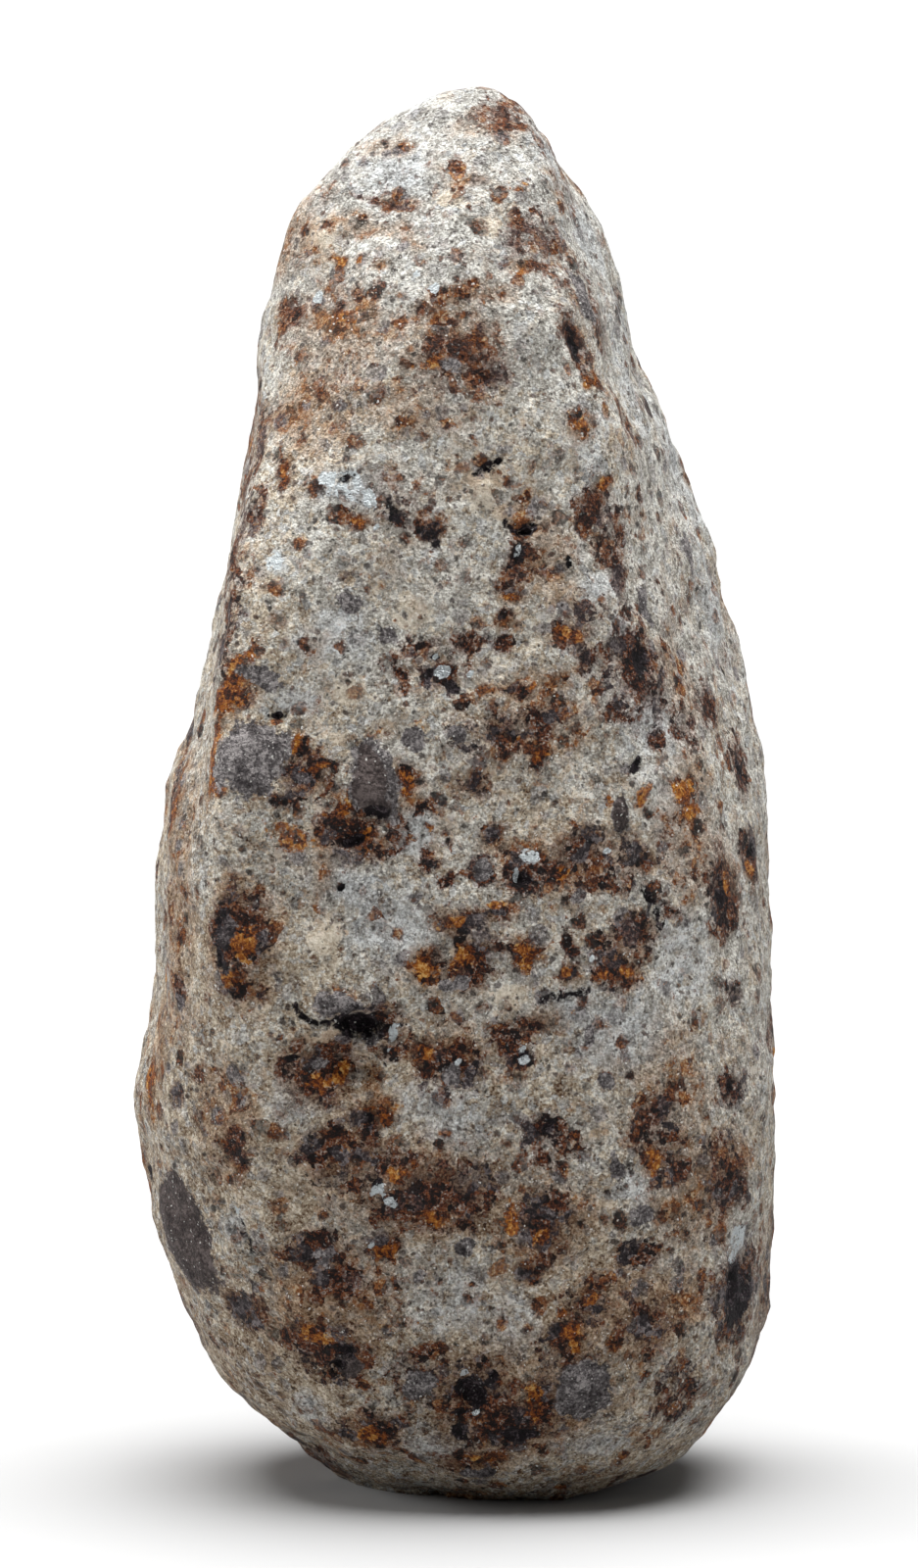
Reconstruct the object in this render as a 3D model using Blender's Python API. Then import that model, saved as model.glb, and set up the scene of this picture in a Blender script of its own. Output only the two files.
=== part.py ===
"""A chondrite meteorite: one worn, upright stony fragment, 30 mm tall, that rests on a small flat spot.

Frame: +Z up, +X to the stone's right and -Y towards the viewer of its broad front face.
The origin lies on the resting plane, under the middle of the stone's box.
Lengths in the tables are in millimetres.
"""

import math

import bpy
import numpy as np
from mathutils import Vector, noise

MM = 0.001

# Driving dimensions
HEIGHT = 29.8
UNDERSIDE_DEPTH = 0.5
HALF_WIDTH = 6.77
HALF_DEPTH = 5.8
APEX_X = 0.35
APEX_Y = 0.7
FOOT_X = 0.2

# Resolution of the lofted surface, and what is kept of it
RINGS = 190
RING_POINTS = 170
CORNER_STEPS = 400
KEPT_TRIANGLES = 9000

# Each line of the stone's form, as (height, offset) from the underside's lowest point to the apex
LEFT_EDGE = [
    (-UNDERSIDE_DEPTH, FOOT_X), (0.0, -2.2), (0.9, -3.3), (1.75, -4.45), (3.0, -5.45), (4.7, -6.2),
    (6.4, -6.68), (8.2, -6.87), (10.0, -6.65), (13.1, -6.38), (14.8, -6.15), (16.4, -5.69), (18.1, -5.21),
    (20.0, -4.82), (22.6, -4.48), (25.3, -4.15), (26.8, -3.9), (28.0, -3.1), (28.85, -2.1), (29.4, -1.15),
    (HEIGHT, APEX_X),
]
RIGHT_EDGE = [
    (-UNDERSIDE_DEPTH, FOOT_X), (0.0, 3.2), (0.5, 4.55), (1.3, 5.35), (3.0, 6.46), (5.5, 6.74), (9.5, 6.8),
    (13.1, 6.76), (15.6, 6.56), (17.3, 6.4), (19.0, 5.92), (20.7, 5.36), (22.3, 4.84), (24.4, 3.94),
    (26.4, 3.38), (27.9, 2.48), (28.9, 1.8), (29.5, 1.2), (HEIGHT, APEX_X),
]
FRONT_EDGE = [
    (-UNDERSIDE_DEPTH, 0.0), (0.0, -2.7), (0.5, -3.7), (1.2, -4.5), (2.5, -5.2), (4.5, -5.62),
    (7.0, -HALF_DEPTH), (10.0, -HALF_DEPTH), (13.0, -5.65), (16.0, -5.35), (19.0, -4.95), (22.0, -4.4),
    (24.5, -3.7), (26.5, -2.9), (28.0, -2.0), (29.2, -0.7), (HEIGHT, APEX_Y),
]
BACK_EDGE = [
    (-UNDERSIDE_DEPTH, 0.0), (0.0, 2.4), (0.5, 3.5), (1.3, 4.5), (2.8, 5.4), (5.0, HALF_DEPTH),
    (8.0, HALF_DEPTH), (11.0, 5.6), (14.0, 5.2), (17.0, 4.8), (20.0, 4.35), (23.0, 3.85), (25.5, 3.35),
    (27.5, 2.7), (29.0, 1.8), (HEIGHT, APEX_Y),
]

# Where the leftmost, rightmost, foremost and rearmost points of a level section lie along the other axis
LEFT_EDGE_Y = [
    (-UNDERSIDE_DEPTH, 0.0), (8.0, 0.9), (15.0, 0.7), (22.0, 0.2), (28.0, 0.5), (HEIGHT, APEX_Y),
]
RIGHT_EDGE_Y = [
    (-UNDERSIDE_DEPTH, 0.0), (6.0, 0.6), (15.0, 1.1), (22.0, 1.4), (28.0, 0.9), (HEIGHT, APEX_Y),
]
FRONT_EDGE_X = [
    (-UNDERSIDE_DEPTH, 1.2), (1.5, 1.2), (6.0, -1.4), (12.0, -2.5), (18.0, -2.2), (24.0, -1.3),
    (HEIGHT, APEX_X),
]
BACK_EDGE_X = [
    (-UNDERSIDE_DEPTH, FOOT_X), (8.0, 1.3), (16.0, 1.0), (24.0, 0.4), (HEIGHT, APEX_X),
]

# How full each corner of a section is: 2 is an ellipse's quarter, and more is squarer
FRONT_LEFT_FULLNESS = [
    (-UNDERSIDE_DEPTH, 2.1), (6.0, 2.4), (12.0, 3.0), (18.0, 3.2), (24.0, 2.8), (HEIGHT, 2.1),
]
FRONT_RIGHT_FULLNESS = [
    (-UNDERSIDE_DEPTH, 2.1), (6.0, 2.5), (12.0, 2.3), (20.0, 2.4), (25.0, 2.8), (HEIGHT, 2.1),
]
BACK_RIGHT_FULLNESS = [(-UNDERSIDE_DEPTH, 2.1), (8.0, 2.7), (16.0, 2.3), (24.0, 2.4), (HEIGHT, 2.1)]
BACK_LEFT_FULLNESS = [(-UNDERSIDE_DEPTH, 2.1), (8.0, 2.3), (16.0, 2.8), (24.0, 2.3), (HEIGHT, 2.1)]

# Broad worn faces: outward direction, distance from the origin to the face, and softness of its edge
WORN_FACES = {
    "back_plain": ((0.18, 0.97, 0.12), 6.2, 0.9),
    "back_left_shoulder": ((-0.62, 0.72, 0.3), 10.4, 0.9),
    "back_lower_break": ((0.25, 0.72, -0.65), 2.45, 0.8),
    "upper_right_flank": ((0.907, -0.326, 0.276), 9.85, 0.4),
    "crown_slope": ((-0.57, -0.64, 0.52), 16.1, 0.5),
}
FACE_FLATNESS = 0.75

# Low lumps and shallow hollows: a point above each, its radius across and up, and its height, less than 0
# for a hollow
LUMPS = {
    "round_clast": ((-4.2, -6.0, 15.7), 1.0, 1.0, 0.14),
    "long_clast": ((-1.8, -6.4, 15.0), 0.6, 1.2, 0.1),
    "left_bulge": ((-7.0, -1.5, 8.6), 1.6, 1.3, 0.16),
    "left_hollow": ((-6.6, -2.0, 11.0), 1.5, 1.6, -0.14),
    "left_corner": ((-6.3, -0.6, 15.3), 1.0, 0.8, 0.12),
    "slab_inclusion": ((-6.6, -2.6, 5.7), 0.9, 1.5, 0.12),
    "deep_pit": ((-2.1, -6.2, 9.8), 0.8, 0.6, -0.42),
    "pit_side_slot": ((-2.9, -6.2, 10.1), 0.9, 0.5, -0.16),
    "pit_upper_ledge": ((-2.6, -6.2, 10.9), 1.3, 0.6, 0.1),
    "chip_below_crown": ((1.0, -5.0, 21.5), 1.0, 0.7, -0.08),
    "front_swelling": ((1.6, -6.3, 12.4), 2.4, 2.2, 0.16),
    "front_dish": ((0.2, -6.3, 18.6), 2.2, 1.8, -0.14),
    "right_notch": ((7.0, -1.0, 12.3), 1.0, 0.8, -0.1),
    "right_clast": ((7.0, -1.2, 13.6), 0.7, 0.9, 0.1),
    "lower_right_clast": ((6.6, -2.6, 4.4), 0.9, 1.0, 0.1),
    "foot_clast": ((1.0, -5.4, 1.6), 0.8, 0.7, 0.1),
    "thumbprint_high": ((-1.0, 5.6, 20.0), 2.6, 3.1, -0.42),
    "thumbprint_middle": ((2.4, 6.6, 12.6), 2.8, 2.4, -0.4),
    "thumbprint_low": ((-3.4, 6.0, 6.6), 2.4, 2.1, -0.32),
    "back_ridge": ((-0.6, 6.6, 15.6), 2.6, 1.1, 0.24),
    "back_clast": ((3.6, 6.2, 7.4), 1.0, 0.8, 0.18),
    "back_pit": ((0.4, 6.6, 9.2), 1.0, 0.8, -0.34),
}

# Natural unevenness: wavelength and height of each layer of it
UNEVENNESS = [(5.5, 0.17), (2.4, 0.1), (1.3, 0.07)]
NOISE_OFFSET = Vector((3.7, 11.3, 5.1))

STONE_COLOUR = (0.23, 0.196, 0.165, 1.0)
STONE_ROUGHNESS = 0.72


def clear_scene():
    for old in list(bpy.data.objects):
        bpy.data.objects.remove(old)


def along(height):
    """Turns heights into 0..1, spread so that a rounded end becomes a straight line."""
    share = (np.asarray(height, float) + UNDERSIDE_DEPTH) / (HEIGHT + UNDERSIDE_DEPTH)
    return np.arccos(np.clip(1 - 2 * share, -1, 1)) / math.pi


def height_at(u):
    return (HEIGHT + UNDERSIDE_DEPTH) * (1 - math.cos(math.pi * u)) / 2 - UNDERSIDE_DEPTH


def smooth_line(points, u):
    """The value at u of a smooth curve through the (height, value) points, which never overshoots them."""
    knots = along([p[0] for p in points])
    values = np.array([p[1] for p in points], float)
    gaps = np.diff(knots)
    slopes = np.diff(values) / gaps
    tangents = np.zeros(len(values))
    tangents[0] = slopes[0]
    tangents[-1] = slopes[-1]
    for i in range(1, len(values) - 1):
        if slopes[i - 1] * slopes[i] > 0:
            tangents[i] = 2 * slopes[i - 1] * slopes[i] / (slopes[i - 1] + slopes[i])
    i = min(max(int(np.searchsorted(knots, u)) - 1, 0), len(gaps) - 1)
    t = (u - knots[i]) / gaps[i]
    return (
        values[i] * (1 + 2 * t) * (1 - t) ** 2
        + values[i + 1] * t * t * (3 - 2 * t)
        + gaps[i] * tangents[i] * t * (1 - t) ** 2
        - gaps[i] * tangents[i + 1] * t * t * (1 - t)
    )


def quarter(side, end, fullness):
    """Points round one corner of a section, from its side's outermost point to its front's or back's."""
    angle = np.linspace(0, math.pi / 2, CORNER_STEPS)
    power = 2 / fullness
    x = end[0] + (side[0] - end[0]) * np.cos(angle).clip(0) ** power
    y = side[1] + (end[1] - side[1]) * np.sin(angle).clip(0) ** power
    return np.stack([x, y], axis=1)


def section(u):
    """The stone's level outline at u, as evenly spaced points."""
    left = (smooth_line(LEFT_EDGE, u), smooth_line(LEFT_EDGE_Y, u))
    right = (smooth_line(RIGHT_EDGE, u), smooth_line(RIGHT_EDGE_Y, u))
    front = (smooth_line(FRONT_EDGE_X, u), smooth_line(FRONT_EDGE, u))
    back = (smooth_line(BACK_EDGE_X, u), smooth_line(BACK_EDGE, u))
    outline = np.concatenate([
        quarter(left, front, smooth_line(FRONT_LEFT_FULLNESS, u)),
        quarter(right, front, smooth_line(FRONT_RIGHT_FULLNESS, u))[::-1],
        quarter(right, back, smooth_line(BACK_RIGHT_FULLNESS, u)),
        quarter(left, back, smooth_line(BACK_LEFT_FULLNESS, u))[::-1],
    ])
    steps = np.linalg.norm(np.diff(outline, axis=0), axis=1)
    run = np.concatenate([[0], np.cumsum(steps)])
    at = np.linspace(0, run[-1], RING_POINTS, endpoint=False)
    return np.stack([np.interp(at, run, outline[:, k]) for k in range(2)], axis=1)


def lofted_mesh(name):
    """The closed surface through all the sections, in millimetres."""
    points = [(FOOT_X, 0.0, -UNDERSIDE_DEPTH)]
    for ring in range(1, RINGS):
        u = ring / RINGS
        points += [(x, y, height_at(u)) for x, y in section(u)]
    points.append((APEX_X, APEX_Y, HEIGHT))
    faces = []
    for i in range(RING_POINTS):
        j = (i + 1) % RING_POINTS
        faces.append((0, 1 + j, 1 + i))
        for ring in range(RINGS - 2):
            low = 1 + ring * RING_POINTS
            high = low + RING_POINTS
            faces.append((low + i, low + j, high + j, high + i))
        top = 1 + (RINGS - 2) * RING_POINTS
        faces.append((top + i, top + j, len(points) - 1))
    mesh = bpy.data.meshes.new(name)
    mesh.from_pydata(points, [], faces)
    mesh.update()
    return mesh


def coordinates(mesh):
    flat = np.empty(len(mesh.vertices) * 3, np.float32)
    mesh.vertices.foreach_get("co", flat)
    return flat.reshape(-1, 3).astype(float)


def normals(mesh):
    flat = np.empty(len(mesh.vertices) * 3, np.float32)
    mesh.vertices.foreach_get("normal", flat)
    return flat.reshape(-1, 3).astype(float)


def move(mesh, points):
    mesh.vertices.foreach_set("co", points.astype(np.float32).ravel())
    mesh.update()


def wear_faces(mesh):
    """Presses the broad worn faces into the form, each with a soft edge."""
    points = coordinates(mesh)
    for direction, distance, softness in WORN_FACES.values():
        outward = np.array(Vector(direction).normalized())
        beyond = points @ outward - distance
        pressed = 0.5 * (beyond + np.sqrt(beyond**2 + softness**2))
        pressed *= np.clip((beyond + 4 * softness) / (4 * softness), 0, 1)
        points -= FACE_FLATNESS * pressed[:, None] * outward
    move(mesh, points)


def roughen(mesh):
    """Adds the lumps, the hollows and the natural unevenness along the surface's own direction."""
    points = coordinates(mesh)
    outward = normals(mesh)
    offset = np.zeros(len(points))
    for wavelength, height in UNEVENNESS:
        offset += [height * noise.noise(Vector(p) / wavelength + NOISE_OFFSET) for p in points]
    for above, across, up, height in LUMPS.values():
        centre = points[np.argmin(np.linalg.norm(points - above, axis=1))]
        gap = points - centre
        level = np.hypot(gap[:, 0], gap[:, 1]) / across
        distance = np.hypot(level, gap[:, 2] / up)
        offset += height * np.clip(1 - distance**2, 0, 1) ** 2
    move(mesh, points + outward * offset[:, None])


def centre(mesh):
    """Puts the middle of the stone's box over the origin."""
    points = coordinates(mesh)
    points[:, :2] -= (points[:, :2].min(axis=0) + points[:, :2].max(axis=0)) / 2
    move(mesh, points)


def stone_material():
    material = bpy.data.materials.new("chondrite_stone")
    material.use_nodes = True
    shader = material.node_tree.nodes["Principled BSDF"]
    shader.inputs["Base Color"].default_value = STONE_COLOUR
    shader.inputs["Roughness"].default_value = STONE_ROUGHNESS
    shader.inputs["Metallic"].default_value = 0.0
    return material


def resting_cutter():
    """The block under the resting plane, which leaves the stone's small flat spot."""
    side = 4 * HALF_WIDTH * MM
    bpy.ops.mesh.primitive_cube_add(size=side, location=(0, 0, -side / 2))
    cutter = bpy.context.object
    cutter.name = "resting_plane_cutter"
    cutter.hide_render = True
    cutter.display_type = "WIRE"
    return cutter


def build_meteorite():
    mesh = lofted_mesh("meteorite")
    wear_faces(mesh)
    roughen(mesh)
    centre(mesh)
    move(mesh, coordinates(mesh) * MM)
    mesh.shade_smooth()
    mesh.materials.append(stone_material())
    stone = bpy.data.objects.new("meteorite", mesh)
    bpy.context.scene.collection.objects.link(stone)

    thinning = stone.modifiers.new("thinning", "DECIMATE")
    thinning.decimate_type = "COLLAPSE"
    thinning.ratio = KEPT_TRIANGLES / (2 * RING_POINTS * (RINGS - 1))
    thinning.use_collapse_triangulate = True

    resting = stone.modifiers.new("resting_spot", "BOOLEAN")
    resting.operation = "DIFFERENCE"
    resting.object = resting_cutter()
    return stone


clear_scene()
build_meteorite()
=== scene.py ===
"""The looks of a chondrite meteorite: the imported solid's form, with its grains, pits and clasts worked in.

The stone is sculpted and described in millimetres, and put into the scene in metres.
"""

import math
from collections import namedtuple

import bmesh
import bpy
import numpy as np
from mathutils import Matrix, Vector, noise
from mathutils.bvhtree import BVHTree


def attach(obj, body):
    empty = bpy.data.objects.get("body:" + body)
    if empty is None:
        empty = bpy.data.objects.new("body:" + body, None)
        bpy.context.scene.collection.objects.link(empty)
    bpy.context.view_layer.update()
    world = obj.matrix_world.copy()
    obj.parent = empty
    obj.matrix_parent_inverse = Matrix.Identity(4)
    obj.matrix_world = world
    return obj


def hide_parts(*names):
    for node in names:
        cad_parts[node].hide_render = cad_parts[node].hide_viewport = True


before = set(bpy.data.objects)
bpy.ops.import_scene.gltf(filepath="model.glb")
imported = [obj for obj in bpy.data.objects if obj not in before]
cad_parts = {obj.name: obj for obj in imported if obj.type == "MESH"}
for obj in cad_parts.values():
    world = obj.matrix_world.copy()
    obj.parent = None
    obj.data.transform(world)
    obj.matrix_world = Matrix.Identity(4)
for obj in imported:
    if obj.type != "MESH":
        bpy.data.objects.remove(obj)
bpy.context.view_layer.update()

MM = 0.001
NODE = "meteorite"

# The camera, which sees the stone as the photograph does
PHOTO_WIDTH = 937
PHOTO_HEIGHT = 1600
SENSOR_MM = 36.0
CAMERA_DISTANCE_MM = 260.0
CAMERA_ELEVATION = math.radians(8)
VIEW_HEIGHT_MM = 33.33
TARGET_MM = Vector((0.07, 0.0, 15.04))
LENS_MM = SENSOR_MM * CAMERA_DISTANCE_MM / VIEW_HEIGHT_MM
FOCAL_PIXELS = LENS_MM / SENSOR_MM * PHOTO_HEIGHT
TO_CAMERA = Vector((0.0, -math.cos(CAMERA_ELEVATION), math.sin(CAMERA_ELEVATION)))
CAMERA_RIGHT = Vector((1.0, 0.0, 0.0))
CAMERA_UP = TO_CAMERA.cross(CAMERA_RIGHT)
CAMERA_MM = TARGET_MM + CAMERA_DISTANCE_MM * TO_CAMERA
# What the camera sees begins and ends at these distances, in metres
NEAREST_SEEN = 0.01
FARTHEST_SEEN = 10.0

# The surface mesh. A point lower than the last of these lies flat on the floor
WELD_MM = 0.001
FACE_SIZE_MM = 0.122
ROUNDING_LEVELS = 2
CALMING_STEPS = 12
CALMING_STRENGTH = 0.5
UNDERSIDE_MM = 0.03

# Relief: wavelength and height of each layer, and the size and height of the rounded grains
RELIEF_LAYERS = [(3.1, 0.09), (1.5, 0.08), (0.8, 0.05), (0.42, 0.035)]
GRAIN_RELIEF = (0.46, 0.06)
RELIEF_OFFSET = Vector((7.1, 2.3, 9.7))

# The spots' outlines wander: over which distance, and by how much
OUTLINE_WANDER = (0.7, 0.22)

# A spot: its pixel in the photograph, half its width and height in mm, its turn in degrees, how solid it
# is, and how square: 2 is an ellipse, and more is squarer
Spot = namedtuple("Spot", "x y wide high turn solid square", defaults=(0, 1.0, 2))

# A spot's value is its solidity at its centre, 0 at its outline and this far outside it
OUTSIDE = -0.7
# A spot reaches this many times its half width along the surface, outline and fall-off together
SPOT_REACH = 1.7
# Half a spot's depth into the stone, as a multiple of its half width
SPOT_DEPTH = 2
# Where a normal is nearer to upright than this, a spot's width lies along X
UPRIGHT = 0.1

# The spots that the photograph shows, kind by kind
# Black spots: black grains, and the black in the pits, which is painted shade in the hollows on top of their
# carved depth
BLACK_SPOTS = [
    Spot(370, 1046, 0.42, 0.36, -15), Spot(538, 541, 0.13, 0.09), Spot(281, 729, 0.17, 0.1),
    Spot(361, 857, 0.2, 0.14), Spot(387, 828, 0.26, 0.17, 20, 0.8), Spot(480, 1420, 0.34, 0.42),
    Spot(470, 1462, 0.22, 0.2, 0, 0.8), Spot(352, 1382, 0.26, 0.22, 0, 0.7),
    Spot(755, 1314, 0.56, 0.86, 0, 0.8), Spot(768, 868, 0.14, 0.25), Spot(376, 1146, 0.1, 0.22),
    Spot(384, 1208, 0.1, 0.18), Spot(531, 1467, 0.36, 0.22, 0, 0.8), Spot(582, 576, 0.12, 0.12),
    Spot(443, 672, 0.12, 0.1), Spot(462, 700, 0.2, 0.14), Spot(440, 690, 0.1, 0.18),
    Spot(655, 676, 0.2, 0.34, 0, 0.7), Spot(231, 972, 0.14, 0.36, 10, 0.8), Spot(533, 1074, 0.12, 0.14),
    Spot(533, 897, 0.26, 0.12, 0, 0.9), Spot(350, 1040, 0.16, 0.1, -14),
    Spot(386, 1052, 0.18, 0.12, -20, 0.5), Spot(346, 1392, 0.22, 0.16, 0, 0.8),
    Spot(560, 1150, 0.18, 0.16, 0, 0.7), Spot(746, 1111, 0.12, 0.14, 0, 0.7),
    Spot(510, 470, 0.16, 0.05, -30), Spot(583, 352, 0.14, 0.4, 15, 0.6),
    Spot(648, 780, 0.14, 0.12, 0, 0.8), Spot(505, 1404, 0.08, 0.12), Spot(468, 1444, 0.2, 0.1),
    Spot(232, 940, 0.12, 0.24, 0, 0.8), Spot(733, 915, 0.2, 0.36, 8, 0.8), Spot(346, 905, 0.05, 0.05),
    Spot(300, 1078, 0.16, 0.12, 0, 0.6), Spot(754, 782, 0.12, 0.34, -10, 0.8),
    Spot(402, 516, 0.26, 0.3, 10, 0.1), Spot(446, 542, 0.26, 0.3, 0, 0.14),
    Spot(356, 485, 0.22, 0.09, -8, 0.8), Spot(526, 570, 0.2, 0.28, 0, 0.25),
]
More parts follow.
